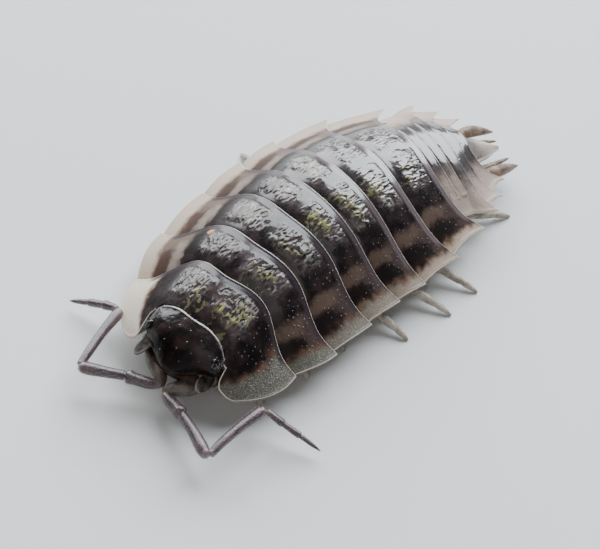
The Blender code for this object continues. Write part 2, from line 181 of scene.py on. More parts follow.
# %% Finish maker
def finish(name, paint, bump=0.0, **constants):
    """A material from a function that returns the wires of the shader's sockets, with Height for the bump."""
    made = bpy.data.materials.new(name)
    made.use_nodes = True
    tree = made.node_tree
    shader = tree.nodes["Principled BSDF"]
    for socket, value in constants.items():
        shader.inputs[socket.replace("_", " ")].default_value = value
    wires = paint(Wire(tree))
    if "Height" in wires:
        height = wires.pop("Height")
        wires["Normal"] = height.node("ShaderNodeBump", {}, {"Distance": bump * MM, "Height": height})
    for socket, wire in wires.items():
        tree.links.new(wire.socket, shader.inputs[socket])
    print("finish:", name, "from", len(tree.nodes), "nodes")
    return made


def number(start, name):
    """An attribute that is one number."""
    return start.node("ShaderNodeAttribute", {"attribute_name": name}, {}, "Fac")


def arrow(start, name):
    """An attribute that is a vector."""
    return start.node("ShaderNodeAttribute", {"attribute_name": name}, {}, "Vector")


# %% [markdown]
# ## Floor and light
# The animal stands on a plain pale floor. Its shell is dark and glossy, so most of what is seen on it is
# reflected light: without something large and bright to mirror, it would look like matt clay. A big soft disc
# behind the animal is mirrored by the rear plates, as an overcast sky would be, and a second one at its right
# brightens that side. A wide, much weaker one in front keeps the shadows open, and the world adds a dim blue.

# %% Floor, lights and world
FLOOR_SIZE = 600.0
PAPER, CLOUD = (0.62, 0.62, 0.61), (0.68, 0.68, 0.67)


def paint_floor(start):
    """Pale grey paper with a faint cloudiness."""
    place = start.node("ShaderNodeTexCoord", {}, {}, "Object") / MM
    return {"Base Color": place.noise(0.03, 3.0).colours(PAPER, CLOUD)}


floor_mesh = bpy.data.meshes.new("floor")
half_floor = FLOOR_SIZE / 2 * MM
floor_mesh.from_pydata([(x * half_floor, y * half_floor, 0) for x, y in ((-1, -1), (1, -1), (1, 1), (-1, 1))],
                       [], [(0, 1, 2, 3)])
floor_mesh.materials.append(finish("pale_floor", paint_floor, Roughness=0.9))
put("floor", floor_mesh)


def soft_light(name, toward, distance, width, glow, colour):
    """A round soft box in a direction from the animal, aimed at it. Its glow is its brightness as seen."""
    toward = Vector(toward).normalized()
    lamp = bpy.data.lights.new(name, "AREA")
    lamp.shape = "DISK"
    lamp.size = width * MM
    lamp.energy = glow * math.pi ** 2 * (lamp.size / 2) ** 2
    lamp.color = colour
    made = put(name, lamp)
    made.location = toward * distance * MM
    made.rotation_mode = "QUATERNION"
    made.rotation_quaternion = toward.to_track_quat("Z", "Y")
    print("light:", name, round(lamp.energy, 3), "W")


soft_light("sky_light", (-0.23, 0.69, 0.68), distance=200, width=200, glow=11.5, colour=(0.88, 0.94, 1.0))
soft_light("side_light", (-0.86, 0.24, 0.45), distance=200, width=170, glow=8.5, colour=(0.94, 0.97, 1.0))
soft_light("front_light", (0.50, -0.80, 0.60), distance=300, width=420, glow=0.8, colour=(1.0, 0.98, 0.95))
world = bpy.data.worlds.new("dim_sky")
world.use_nodes = True
world.node_tree.nodes["Background"].inputs["Color"].default_value = (0.80, 0.88, 1.0, 1.0)
world.node_tree.nodes["Background"].inputs["Strength"].default_value = 0.10
bpy.context.scene.world = world

# %% [markdown]
# ## The bent body
# Everything on the animal is placed by three numbers: u, sideways from its midline towards its left side; s,
# back along the midline; and z, up from the floor. The midline itself bends to the left, and one function
# turns such a place into a point of the world. Building on a straight body and bending it last keeps every
# other formula simple. numpy does it for all points of a mesh in one go.

# %% Places and the bend
ORIGIN = (0.438, 8.254)     # world point below the middle of the animal's box
BEND_FROM, BEND_TO = 3.5, 16.5
NEUTRAL = 8.7               # the station where the body points straight back
TURN = math.radians(2.26)   # for each millimetre of back


def mix(a, b, k):
    """The value a share k of the way from a to b."""
    return a + (b - a) * k


def soft(x, low, high):
    """A soft step from 0 at low to 1 at high."""
    k = np.clip((x - low) / (high - low), 0, 1)
    return k * k * (3 - 2 * k)


def bend(places):
    """Turn rows of (u, s, z) in millimetres into world points in metres."""
    u, s, z = np.asarray(places, float).reshape(-1, 3).T
    along = np.clip(s, BEND_FROM, BEND_TO)
    angle = (along - NEUTRAL) * TURN
    x = (1 - np.cos(angle)) / TURN + (s - along) * np.sin(angle) + u * np.cos(angle) - ORIGIN[0]
    y = NEUTRAL + np.sin(angle) / TURN + (s - along) * np.cos(angle) - u * np.sin(angle) - ORIGIN[1]
    return np.stack((x, y, z), -1) * MM


def mark(mesh, **marks):
    """Keep numbers as attributes of a mesh's points."""
    for name, values in marks.items():
        values = np.asarray(values, float).ravel()
        mesh.attributes.new(name, "FLOAT", "POINT").data.foreach_set("value", values)


def skin(name, places, faces, material, **marks):
    """A smooth mesh object from places, with its marks kept as attributes of its points."""
    places = np.asarray(places, float).reshape(-1, 3)
    mesh = bpy.data.meshes.new(name)
    mesh.from_pydata(bend(places), [], faces)
    mesh.shade_smooth()
    mesh.materials.append(material)
    mesh.attributes.new("place", "FLOAT_VECTOR", "POINT").data.foreach_set("vector", places.ravel())
    mark(mesh, **marks)
    return put(name, mesh)


def settle(piece, slot, *nodes):
    """Put a finished piece on the body and hide the solids that it stands for."""
    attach(piece, "root")
    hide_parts(*nodes)
    print("piece:", piece.name, sum(len(face.vertices) - 2 for face in piece.data.polygons), "triangles")


# %% [markdown]
# ## Running a node tree
# Geometry Nodes make the relief of the shell and all that repeats on it. A tree is built once with named
# inputs and run on many pieces. An input's value is stored under the socket's identifier, not its name, and
# it has to be set before the object is first evaluated. Afterwards the result is turned into a plain mesh and
# the modifier is removed, so that nothing in the finished piece is still live. Four small helpers name the
# nodes that come back in several trees: one moves points, one scatters them on a surface, one draws a random
# size for each, and one plants a shape on them.


# %% Tree maker and runner
def recipe(name, **sizes):
    """A Geometry Nodes tree with a mesh going in and out, number inputs, a seed and a material."""
    tree = bpy.data.node_groups.new(name, "GeometryNodeTree")
    tree.interface.new_socket("Geometry", in_out="OUTPUT", socket_type="NodeSocketGeometry")
    tree.interface.new_socket("Geometry", in_out="INPUT", socket_type="NodeSocketGeometry")
    for label, value in sizes.items():
        made = tree.interface.new_socket(label, in_out="INPUT", socket_type="NodeSocketFloat")
        made.default_value = value
    tree.interface.new_socket("seed", in_out="INPUT", socket_type="NodeSocketInt")
    tree.interface.new_socket("material", in_out="INPUT", socket_type="NodeSocketMaterial")
    start = tree.nodes.new("NodeGroupInput")
    return Wire(tree), {socket.name: Wire(tree, socket) for socket in start.outputs if socket.name}


def serve(geometry, material):
    """End a tree: real faces, smooth, in one material."""
    real = geometry.node("GeometryNodeRealizeInstances", {}, {0: geometry})
    smooth = real.node("GeometryNodeSetShadeSmooth", {}, {"Geometry": real})
    dressed = smooth.node("GeometryNodeSetMaterial", {}, {"Geometry": smooth, "Material": material})
    end = dressed.tree.nodes.new("NodeGroupOutput")
    dressed.tree.links.new(dressed.socket, end.inputs[0])
    return dressed.tree


def freeze(piece):
    """The plain mesh that a live object gives. The object is removed, and its modifiers go with it."""
    mesh = bpy.data.meshes.new_from_object(piece.evaluated_get(bpy.context.evaluated_depsgraph_get()))
    bpy.data.objects.remove(piece)
    return mesh


def run(tree, piece, **values):
    """Run a tree on a piece and return the result as a plain mesh object of the same name."""
    modifier = piece.modifiers.new(tree.name, "NODES")
    modifier.node_group = tree
    for socket in tree.interface.items_tree:
        if socket.in_out == "INPUT" and socket.name in values:
            modifier[socket.identifier] = values[socket.name]
    return put(piece.name, freeze(piece))


def named(start, name, kind="FLOAT"):
    """Read an attribute inside a tree."""
    return start.node("GeometryNodeInputNamedAttribute", {"data_type": kind}, {"Name": name})


def keep(geometry, name, value, kind="FLOAT"):
    """Store a field as an attribute of the points."""
    return geometry.node("GeometryNodeStoreNamedAttribute", {"data_type": kind, "domain": "POINT"},
                         {"Geometry": geometry, "Name": name, "Value": value})


def shift(geometry, offset):
    """Move each point of a geometry by a vector."""
    return geometry.node("GeometryNodeSetPosition", {}, {"Geometry": geometry, "Offset": offset})


def scatter(surface, given, where, most):
    """Points on a surface where a mask allows, spacing apart, and at most so many to a square millimetre."""
    return surface.node("GeometryNodeDistributePointsOnFaces", {"distribute_method": "POISSON"},
                        {"Mesh": surface, "Distance Min": given["spacing"] * MM,
                         "Density Max": most / MM ** 2, "Density Factor": where, "Seed": given["seed"]})


def varied(start, given, low, high):
    """A random size for each point."""
    return start.node("FunctionNodeRandomValue", {"data_type": "FLOAT"},
                      {2: low, 3: high, "Seed": given["seed"]}, 1)


def plant(points, instance, turn, scale):
    """Put a turned and scaled copy of a shape on each point."""
    return points.node("GeometryNodeInstanceOnPoints", {},
                       {"Points": points, "Instance": instance, "Rotation": turn, "Scale": scale})


def together(*parts):
    """Join several geometries of one tree."""
    made = parts[0].tree.nodes.new("GeometryNodeJoinGeometry")
    for part in reversed(parts):
        made.id_data.links.new(part.socket, made.inputs[0])
    return Wire(parts[0].tree, made.outputs[0])


print("tree maker: ready")

# %% [markdown]
# ## How the plates are laid out
# Seven broad plates cover the middle of the body and five narrow ones the tail. Each is described by a few
# sizes: where its hind rim crosses the midline, how high and how wide it is there, how wide its front is, and
# how far the rim sweeps back on its way out to the skirt. The right side is the outside of the bend, so some
# plates are a little wider there. The first two tail plates are narrow strips of the last broad plate's dome,
# and the third still lies on a wider dome than its own edges, so each plate also has a span, which is the
# half width of its dome.

# %% Plate sizes
MARGIN = 1.0                # height of the skirt's upper edge
BELLY = 0.95                # height of the belly
BELLY_EDGE, SKIRT_EDGE = 0.5, 0.8
JOINS = (0.45, 0.8, 1.0)    # where a rim's sweep is given, as a share of its half width
STEP = 0.10                 # each plate starts this much below the last one's rim
Plate = namedtuple("Plate", "name hind crest half front_half outer sweep span")
HEAD_RIM = Plate("head", 2.52, 2.66, 1.66, 1.66, 1.0, (0.04, -0.15, -0.50), 1.66)
HEAD_TURN = 0.07            # the head's hind edge runs back this much per millimetre to the right
PLATES = (
    Plate("pereonite_1", 4.30, 2.98, 3.31, 1.97, 0.97, (0.13, -0.60, -0.70), 3.31),
    Plate("pereonite_2", 5.78, 3.24, 3.84, 3.20, 1.00, (0.08, -0.46, -0.40), 3.84),
    Plate("pereonite_3", 7.31, 3.37, 3.92, 3.66, 1.03, (0.11, -0.10, 0.05), 3.92),
    Plate("pereonite_4", 8.62, 3.45, 3.92, 3.76, 1.07, (0.07, 0.10, 0.40), 3.92),
    Plate("pereonite_5", 9.93, 3.42, 3.95, 3.80, 1.06, (0.08, 0.21, 0.47), 3.95),
    Plate("pereonite_6", 11.44, 3.22, 3.76, 3.86, 1.04, (0.00, 0.39, 0.94), 3.76),
    Plate("pereonite_7", 13.10, 2.86, 3.22, 3.58, 1.02, (0.00, 0.44, 1.10), 3.22),
    Plate("pleonite_1", 13.52, 2.72, 2.15, 2.20, 1.00, (0.00, 0.08, 0.20), 3.22),
    Plate("pleonite_2", 13.94, 2.58, 2.10, 2.10, 1.00, (0.00, 0.06, 0.15), 3.22),
    Plate("pleonite_3", 14.42, 2.42, 2.82, 2.60, 1.00, (0.00, 0.25, 0.70), 3.05),
    Plate("pleonite_4", 14.88, 2.26, 2.26, 2.50, 1.00, (0.00, 0.35, 0.88), 2.26),
    Plate("pleonite_5", 15.32, 2.08, 1.62, 1.98, 1.00, (0.00, 0.42, 0.95), 1.62),
)
BROAD, LAST = 7, len(PLATES) - 1        # the first seven are the broad ones


def through(values, share):
    """A smooth curve from 0 that passes the three values at JOINS."""
    xs, ys = np.array((0.0, *JOINS)), np.array((0.0, *values))
    steep = np.diff(ys) / np.diff(xs)
    slopes = np.array((0.0, (steep[0] + steep[1]) / 2, (steep[1] + steep[2]) / 2, steep[2]))
    share = np.clip(share, 0.0, 1.0)
    i = np.minimum(np.searchsorted(xs, share, side="right") - 1, 2)
    wide = np.diff(xs)[i]
    k = (share - xs[i]) / wide
    return ((2 * k ** 3 - 3 * k ** 2 + 1) * ys[i] + (k ** 3 - 2 * k ** 2 + k) * wide * slopes[i]
            + (3 * k ** 2 - 2 * k ** 3) * ys[i + 1] + (k ** 3 - k ** 2) * wide * slopes[i + 1])


def half_width(plate, u):
    """The half width of a plate's rim on the side that u is on."""
    return plate.half * np.where(np.asarray(u) < 0, plate.outer, 1.0)


def rim(plate, u):
    """The station of a plate's hind edge, u off the midline."""
    return plate.hind + through(plate.sweep, np.abs(u) / half_width(plate, u))


def rim_at(plate, t):
    """The same, t from -1 to 1 across the plate."""
    return rim(plate, t * half_width(plate, t))


def dome(share):
    """The shell's height in section, from 1 at the midline to 0 at the skirt's edge."""
    share = np.minimum(np.abs(share), 1.0)
    return 0.45 * (1 - share ** 2) + 0.275 * (1 + np.cos(math.pi * share ** 1.25))


print("plates:", len(PLATES), "from station", HEAD_RIM.hind, "to", PLATES[-1].hind)

# %% [markdown]
# ## One plate as a closed pillow
# A plate is thin at its hind lip and at its skirts, and thick in the middle, where the soft body hangs under
# it. Its upper side and its underside are made on one grid of places. They share the points along all four
# edges, and close to an edge both curve together as a half circle, so the mesh is closed and its rim is
# rounded. Rows and columns are crowded there. Each plate starts hidden under the lip of the one before it.

# %% Pillow between two stations
EDGE_STEPS = 5
LIP, SKIRT = 0.075, 0.12    # thickness of the hind lip and of the skirt
TUCK = 0.30                 # how far a plate reaches forward under the last one's lip
TUCK_SIDES = (0.68, 0.76)   # outside here it may reach further
HOLLOW, HOLLOW_WALL = 0.36, 0.05        # how far the hollow under a lip goes forward, and its wall
FRONT_WALL = (0.02, 0.07)   # where the plate thickens behind its front edge
SWELL = 0.11                # how far a plate bulges between its edges
quarter = np.linspace(0, math.pi / 2, EDGE_STEPS + 1)


def round_off(distance, radius):
    """The share of full thickness at a distance from a rounded edge."""
    return np.sqrt(1 - (1 - np.clip(distance / radius, 0, 1)) ** 2)


def pillow(name, material, begin, end, place, half, rank=1.0, columns=320, rows=54, free_front=None,
           thick=None):
    """Close the plate that lies between the stations begin(t) and end(t), t across from -1 to 1."""
    inside = 1 - SKIRT / 2 / half
    outward = inside + (1 - inside) * np.sin(quarter[1:])
    t = np.concatenate((-outward[::-1], np.linspace(-inside, inside, columns), outward))
    first, last = begin(t), end(t)
    curl = LIP / 2 * (1 - np.cos(quarter[:-1]))[:, None]
    body = mix(first + LIP / 2, last - LIP / 2, np.linspace(0, 1, rows)[:, None])
    s = np.concatenate((first + curl, body, (last - curl)[::-1]))
    t = np.broadcast_to(t, s.shape)
    u, z, along = place(t, s)

    side, hind, front = (1 - np.abs(t)) * half, last - s, s - first
    shape = round_off(side, SKIRT / 2) * round_off(hind, LIP / 2) * round_off(front, LIP / 2)
    if thick is None:
        k = np.clip((np.abs(t) - BELLY_EDGE) / (SKIRT_EDGE - BELLY_EDGE), 0, 1)
        full = z - mix(np.minimum(BELLY, z - SKIRT), z - SKIRT, k)
        thick = mix(LIP, full, soft(hind, HOLLOW, HOLLOW + HOLLOW_WALL) * soft(front, *FRONT_WALL))
    edge = np.minimum(side, hind)
    if free_front is not None:
        edge = np.minimum(edge, front + free_front(t))

    high, wide = s.shape
    upper = np.stack((u, s, z - thick / 2 * (1 - shape)), -1)
    lower = np.stack((u, s, z - thick / 2 * (1 + shape)), -1)[1:-1, 1:-1]
    top = np.arange(high * wide).reshape(high, wide)
    base = top.copy()
    base[1:-1, 1:-1] = high * wide + np.arange((high - 2) * (wide - 2)).reshape(high - 2, wide - 2)
    corners = [np.stack((grid[:-1, :-1], grid[:-1, 1:], grid[1:, 1:], grid[1:, :-1]), -1).reshape(-1, 4)
               for grid in (top, base)]
    faces = np.concatenate((corners[0], corners[1][:, ::-1])).tolist()

    def both(values):
        """The values of the upper points, then those of the lower ones."""
        return np.concatenate((values.ravel(), values[1:-1, 1:-1].ravel()))

    below = np.concatenate((np.zeros(high * wide), np.ones((high - 2) * (wide - 2))))
    return skin(name, np.concatenate((upper.reshape(-1, 3), lower.reshape(-1, 3))), faces, material,
                across=both(t), along=both(along), edge=both(edge), hind=both(hind), below=below,
                rank=np.full(len(below), rank))


# %% [markdown]
# ## The shell's finish
# Live shell is dark brown and glossy. Beside the midline it is marked with pale and yellow-green curls, where
# muscles grip it from inside; the pale on the tops of its wrinkles is partly a painted highlight. Further out
# comes a paler brown patch, then a dark blotch, then a rusty border and the skirt, so thin that light passes
# through and makes it grey-beige with pale stipple. Along the free edge runs a cream line, and before the
# hind rim a violet-grey band. Each of these is a mask on `across`, `along`, `hind` and `edge`, its border
# broken up with noise, and the colours are laid over one another in that order. `rank` counts the plates
# from 0 at the head to 1 at the tail: the rear ones are paler and glossier. The right side, which the light
# reaches, is painted paler, so several colours come in pairs: the paler one of each is painted light.

# %% Shell finish
DARK, UMBER = (0.0040, 0.0020, 0.0024), (0.026, 0.014, 0.013)
FIELD, CURL, YELLOW = (0.070, 0.050, 0.050), (0.40, 0.38, 0.35), (0.34, 0.34, 0.11)
PATCH, BLOTCH, DUSK = (0.096, 0.063, 0.047), (0.008, 0.0045, 0.004), (0.055, 0.036, 0.032)
# Painted light: paler copies of these colours for the right side, which the light reaches.
PATCH_LIT_RIGHT, BLOTCH_LIT_RIGHT, DUSK_LIT_RIGHT = (0.24, 0.19, 0.155), (0.055, 0.030, 0.021), (0.15, 0.108, 0.084)
VEIL, VEIL_REAR = (0.100, 0.093, 0.077), (0.50, 0.37, 0.28)
# Painted light: the paler veil of the right skirts, and the still paler one of the first plate's right skirt,
# stand in for light shining through them.
VEIL_LIT_RIGHT, VEIL_LIT_FIRST = (0.42, 0.34, 0.27), (0.58, 0.50, 0.41)
TAIL, TAIL_SIDE = (0.055, 0.044, 0.043), (0.42, 0.33, 0.28)
CREAM, SPECK = (0.74, 0.66, 0.56), (0.36, 0.34, 0.29)
BAND, BAND_REAR = (0.032, 0.022, 0.028), (0.15, 0.115, 0.12)
RUST = (0.125, 0.060, 0.034)
PALE_BELLY = (0.46, 0.40, 0.32)
ORANGE, ORANGE_AT = (0.62, 0.24, 0.07), (-1.72, 5.52, 0.0)     # one small mark on the second plate
RIGHT_WIDER = 0.07          # the marks of the right side lie this much nearer the midline


def paint_shell(start):
    """Colour, roughness and grain of a back plate."""
    place = arrow(start, "place")
    along, edge, hind = number(start, "along"), number(start, "edge"), number(start, "hind")
    rank, below, across = number(start, "rank"), number(start, "below"), number(start, "across")
    # `right` marks the right side, where the paler colours below are painted light.
    first, right = 1 - rank.rise(0.0, 0.05), across.rise(-0.40, -0.55)
    wander = (place.noise(1.6, 3.0, seed=1.0) - 0.5) * 0.10
    out = abs(across) * (right * RIGHT_WIDER + 1) + wander
    aft = along + (place.noise(2.1, 2.0, seed=2.0) - 0.5) * 0.22
    ragged = place.noise(4.0, 4.0, seed=13.0) - 0.5

    # The dark ground and, beside the midline, the field with its pale and yellow-green curls.
    colour = place.noise(2.6, 4.0).rise(0.38, 0.68).colours(DARK, UMBER)
    field = out.between(0.03, 0.47, 0.05) * aft.rise(0.10, 0.30) * hind.rise(0.28, 0.40)
    colour = (field * place.noise(3.2, 3.0, seed=12.0).rise(0.35, 0.65)).colours(colour, FIELD)
    patchy = place.noise(1.3, 2.0, seed=5.0).rise(0.36, 0.62)
    strokes_and_ridge_glint = (place * (1.0, 0.50, 1.0)).noise(5.5, 1.0, 1.0, seed=3.0).rise(0.56, 0.66) * 0.5
    # Painted highlight: the tops of the wrinkles are painted pale as well, besides the pale curl strokes.
    strokes_and_ridge_glint = strokes_and_ridge_glint + number(start, "ridge").rise(0.35, 0.75) * 0.4
    curls = field * (out.between(0.13, 0.45, 0.04) * 0.7 + 0.3) * patchy * strokes_and_ridge_glint
    # The yellow-green marks beside the midline; on the first plate's right side their brighter strokes are
    # partly a painted highlight.
    yellow_and_glint = across.between(0.12, 0.36, 0.05) + first * across.between(-0.22, 0.05, 0.05)
    yellow_and_glint = yellow_and_glint * (1 - aft.rise(0.40, 0.65)) * 0.8
    tint = (yellow_and_glint + place.noise(1.9, 1.0, seed=4.0).rise(0.52, 0.62) * 0.6).colours(CURL, YELLOW)
    colour = (curls + yellow_and_glint * strokes_and_ridge_glint * 0.55).colours(colour, tint)

    # Further out the dusky side with its patch and blotch, then the border and the skirt.
    # On the right side the paler colour of each pair is painted light.
    dusk, patch, blotch = [right.colours(*pair) for pair in (
        (DUSK, DUSK_LIT_RIGHT), (PATCH, PATCH_LIT_RIGHT), (BLOTCH, BLOTCH_LIT_RIGHT))]
    spread = 1 - first
    sides = spread * (out + ragged * 0.10).rise(0.60, 0.68)
    colour = (sides * aft.rise(0.30, 0.60) * 0.85).colours(colour, dusk)
    away = ((out - 0.69) / 0.062) ** 2 + ((aft - 0.28) / 0.42) ** 2
    colour = (spread * (1 - (away + ragged * 3.0).rise(0.0, 1.8)) * 0.9).colours(colour, patch)
    away = ((out - rank * 0.045 - 0.81) / 0.078) ** 2 + ((aft - 0.15) / (rank * 0.35 + 0.40)) ** 2
    colour = (spread * (1 - (away + ragged * 2.6).rise(0.4, 1.6)) * 0.95).colours(colour, blotch)
    veil = rank.rise(0.05, 0.75).colours(VEIL, VEIL_REAR)
    veil = (place.noise(24.0, 2.0, seed=7.0).rise(0.50, 0.64) * 0.5).colours(veil, SPECK)
    # On the right side the paler veil is painted light shining through the skirt.
    veil = right.colours(veil, first.colours(VEIL_LIT_RIGHT, VEIL_LIT_FIRST))
    skirt = (out + first * 0.13 + ragged * 0.08 - (1 - right) * rank.rise(0.20, 0.50) * 0.04).rise(0.80, 0.98)
    rusty = place.noise(2.6, 4.0, seed=15.0).rise(0.35, 0.65) * 0.7 + 0.1
    colour = (skirt.rise(0.0, 0.4) * rusty).colours(colour, RUST)
    colour = skirt.rise(0.15, 0.85).colours(colour, veil)

    # The paler tail, the small mark, the band and cream line of the hind rim, and the underside.
    tail = rank.rise(0.58, 0.63)
    pale = (out + ragged * 0.3).rise(0.45, 0.85).colours(TAIL, TAIL_SIDE)
    colour = (tail * 0.85).colours(colour, pale)
    spot = (place - ORANGE_AT) * (1.0, 1.0, 0.0)
    spot = spot.node("ShaderNodeVectorMath", {"operation": "LENGTH"}, {0: spot}, 1) + ragged * 0.06
    colour = ((1 - spot.rise(0.08, 0.15)) * rank.between(0.05, 0.13, 0.02)).colours(colour, ORANGE)
    middle = 1 - out.rise(0.80, 0.90)
    band = rank.rise(0.15, 0.50).colours(BAND, BAND_REAR)
    colour = ((1 - hind.rise(0.14, 0.30)) * middle * (1 - tail) * 0.85).colours(colour, band)
    inward = edge + (place.noise(6.0, 2.0, seed=8.0) - 0.5) * 0.015
    rim_line = edge.rise(0.002, 0.012) * (1 - inward.rise(0.020, 0.048)) * (1 - tail * middle * 0.6)
    covered = rank.between(0.60, 0.76, 0.02) * abs(across).rise(0.80, 0.92)
    colour = (rim_line * (1 - covered)).colours(colour, CREAM)
    colour = (below * hind.rise(0.03, 0.20)).colours(colour, PALE_BELLY)

    # Grain, and the gloss of the middle and of the granules.
    grain = place.noise(14.0, 4.0, seed=9.0)
    fine = place.noise(45.0, 2.0, seed=10.0)
    gloss = (1 - out.rise(0.50, 0.64) * 0.85) * (1 - right * (1 - rank.rise(0.15, 0.50)))
    gloss = gloss * (rank.rise(0.10, 0.60) * 0.55 + 0.4) * (1 - first * across.rise(-0.05, 0.20) * 0.45)
    gloss = gloss.maths("MAXIMUM", gloss, number(start, "grit"))
    return {"Base Color": colour, "Height": grain * 0.7 + fine * 0.3,
            "Roughness": 0.34 + grain * 0.16 + out.rise(0.50, 0.70) * 0.15,
            "Coat Weight": gloss * (1 - below)}


shell = finish("shell", paint_shell, bump=0.025, Coat_Roughness=0.17, Coat_IOR=1.85, Specular_IOR_Level=0.09)

# %% [markdown]
# ## Relief by Geometry Nodes
# A plate isn't smooth. Its middle is raised in low wrinkles that run fore and aft, its rim has a fine bead,
# and small shiny granules are scattered over its left side and middle. All of this follows the surface, so a
# node tree does it: Set Position lifts the points along their normals by a sum of masks and noise, and
# Distribute Points with Instance on Points sets the granules. The tree also leaves two marks for the finish:
# `ridge` on the wrinkles and `grit` on the granules. The helper `warts` makes the granules here and, later,
# the knobs on the head. The seed is fixed, so every run gives the same animal.


# %% Relief tree
def warts(points, given, radius, facets, spread, flat, gloss):
    """A flattened ball of a random size on each point, with its gloss as a mark for the finish."""
    turn = points.output("Rotation")
    points = keep(points, *gloss)
    size = varied(points, given, *spread)
    scale = points.node("ShaderNodeCombineXYZ", {}, {0: size, 1: size, 2: size * flat})
    wart = points.node("GeometryNodeMeshUVSphere", {},
                       {"Segments": facets[0], "Rings": facets[1], "Radius": given[radius] * MM})
    return plant(points, wart, turn, scale)


def relief_tree():
    """The tree that wrinkles a plate and sets granules on it."""
    start, given = recipe("relief", wrinkle=0.040, grain=0.008, bead=0.018, granule=0.04, spacing=0.13,
                          reach=1.0)
    place = named(start, "place", "FLOAT_VECTOR")
    across, along = abs(named(start, "across")), named(start, "along")
    hind, edge = named(start, "hind"), named(start, "edge")
    upper = 1 - named(start, "below").rise(0.0, 0.5)

    seed = given["seed"] * 1.0
    wander = (place.noise(1.5, 2.0, seed=11.0) - 0.5) * 0.12
    field = (across + wander).between(0.05, 0.47, 0.05) * along.rise(0.10, 0.32) * hind.rise(0.26, 0.40)
    waves = (place * (1.0, 0.65, 1.0)).noise(1.5, 1.0, 0.8, seed=seed) * 5.5
    loops = waves.maths("PINGPONG", waves, 0.5).rise(0.05, 0.45)
    comb = (place * (1.0, 0.45, 1.0)).noise(5.4, 1.0, 0.6, seed=seed + 7.0)
    comb = 1 - abs(comb - 0.5).rise(0.0, 0.11)
    ridge = (loops * 0.25 + comb * 0.75) * field
    swell = field * place.noise(1.4, 1.0, seed=seed + 3.0).rise(0.35, 0.65)
    sides = across.between(0.45, 0.95, 0.08) * hind.rise(0.05, 0.30)
    rough = place.noise(7.0, 3.0, seed=seed + 5.0) - 0.5
    brim = 1 - abs(edge - 0.045).rise(0.0, 0.045)
    height = (ridge * 0.8 + swell * 0.9) * given["wrinkle"] + rough * (0.4 + sides + field) * given["grain"]
    height = (height + brim * given["bead"]) * upper * MM
    normal = start.node("GeometryNodeInputNormal")
    # `ridge` marks the tops of the wrinkles, which the finish paints pale, partly as a painted highlight.
    marked = keep(shift(given["Geometry"], normal * height), "ridge", ridge * upper)

    where = (across + wander * 1.5).between(0.52, 0.90, 0.06) * along.rise(0.15, 0.40) * hind.rise(0.10, 0.16)
    near_side = named(start, "across").rise(-0.65, -0.10)
    where = (where + field * 0.25) * upper * edge.rise(0.08, 0.12) * near_side * given["reach"]
    points = scatter(marked, given, where, most=40.0)
    grains = warts(points, given, "granule", (8, 5), (0.55, 1.15), flat=0.5, gloss=("grit", 0.75))
    return serve(together(marked, grains), given["material"])


relief = relief_tree()
print("relief tree:", len(relief.nodes), "nodes")

# %% [markdown]
# ## The plates of the back
# The first plate is special: its front corners reach forward and clasp the head. It is widest at its hind
# rim and follows a flare curve forward. The other six are tiles that start under the lip in front. Their
# height runs from just below that lip to their own rim, on the same dome-shaped section, with a slight swell
# in between.

# %% Back plates
CLASP_IN, CLASP_TIP, CLASP_FRONT = 1.60, 1.97, 1.46
CLASP_CORNER, CLASP_ROUND = 0.9, 0.30
CLASP_TUCK, CLASP_COVERED = 0.28, (0.28, 0.42)     # how far it goes under the head, and where that stops
CLASP_FREE = (0.42, 0.50)   # its front edge has a rim from here outwards
FLARE_END, FLARE_POWER = 3.4, 2.2


def flare(s):
    """The half width of the first plate at station s."""
    share = np.clip((FLARE_END - s) / (FLARE_END - CLASP_FRONT), 0.0, 1.0)
    return PLATES[0].half - (PLATES[0].half - CLASP_TIP) * share ** FLARE_POWER


def clasp(t):
    """The first plate's front edge: behind the head, beside it, then round the lobe."""
    beside_rim = t * flare(HEAD_RIM.hind)
    behind = rim(HEAD_RIM, beside_rim) - HEAD_TURN * beside_rim + 0.15
    t = np.abs(t)
    half = PLATES[0].half
    narrowing = np.clip((half - CLASP_IN / np.maximum(t, 0.01)) / (half - CLASP_TIP), 0.0, 1.0)
    beside = FLARE_END - (FLARE_END - CLASP_FRONT) * narrowing ** (1 / FLARE_POWER)
    inner = np.minimum(behind, beside)
    tip = CLASP_FRONT + CLASP_ROUND * (np.maximum(t - CLASP_CORNER, 0.0) / (1 - CLASP_CORNER)) ** 2 / 2
    near = np.maximum(CLASP_ROUND - np.abs(inner - tip), 0.0) / CLASP_ROUND
    return np.maximum(inner, tip) + near ** 2 * CLASP_ROUND / 4


def first_plate():
    """The plate behind the head."""
    plate = PLATES[0]

    def begin(t):
        return clasp(t) - CLASP_TUCK * (1 - soft(np.abs(t), *CLASP_COVERED))

    def place(t, s):
        rise = np.clip((s - HEAD_RIM.hind) / (plate.hind - HEAD_RIM.hind), -0.2, 1.0)
        z = MARGIN + (mix(HEAD_RIM.crest - STEP, plate.crest, rise) - MARGIN) * dome(t)
        z += SWELL * np.sin(math.pi * np.clip(rise, 0, 1)) * dome(t)
        along = (s - clasp(t)) / (rim_at(plate, t) - clasp(t))
        return t * half_width(plate, t) * flare(s) / plate.half, z, along

    def free_front(t):
        """What keeps the rim off the part of the front edge that the head covers."""
        return 2.0 * (1 - soft(np.abs(t), *CLASP_FREE))

    return pillow(plate.name, shell, begin, lambda t: rim_at(plate, t), place, plate.half, rank=0.0, rows=72,
                  free_front=free_front)


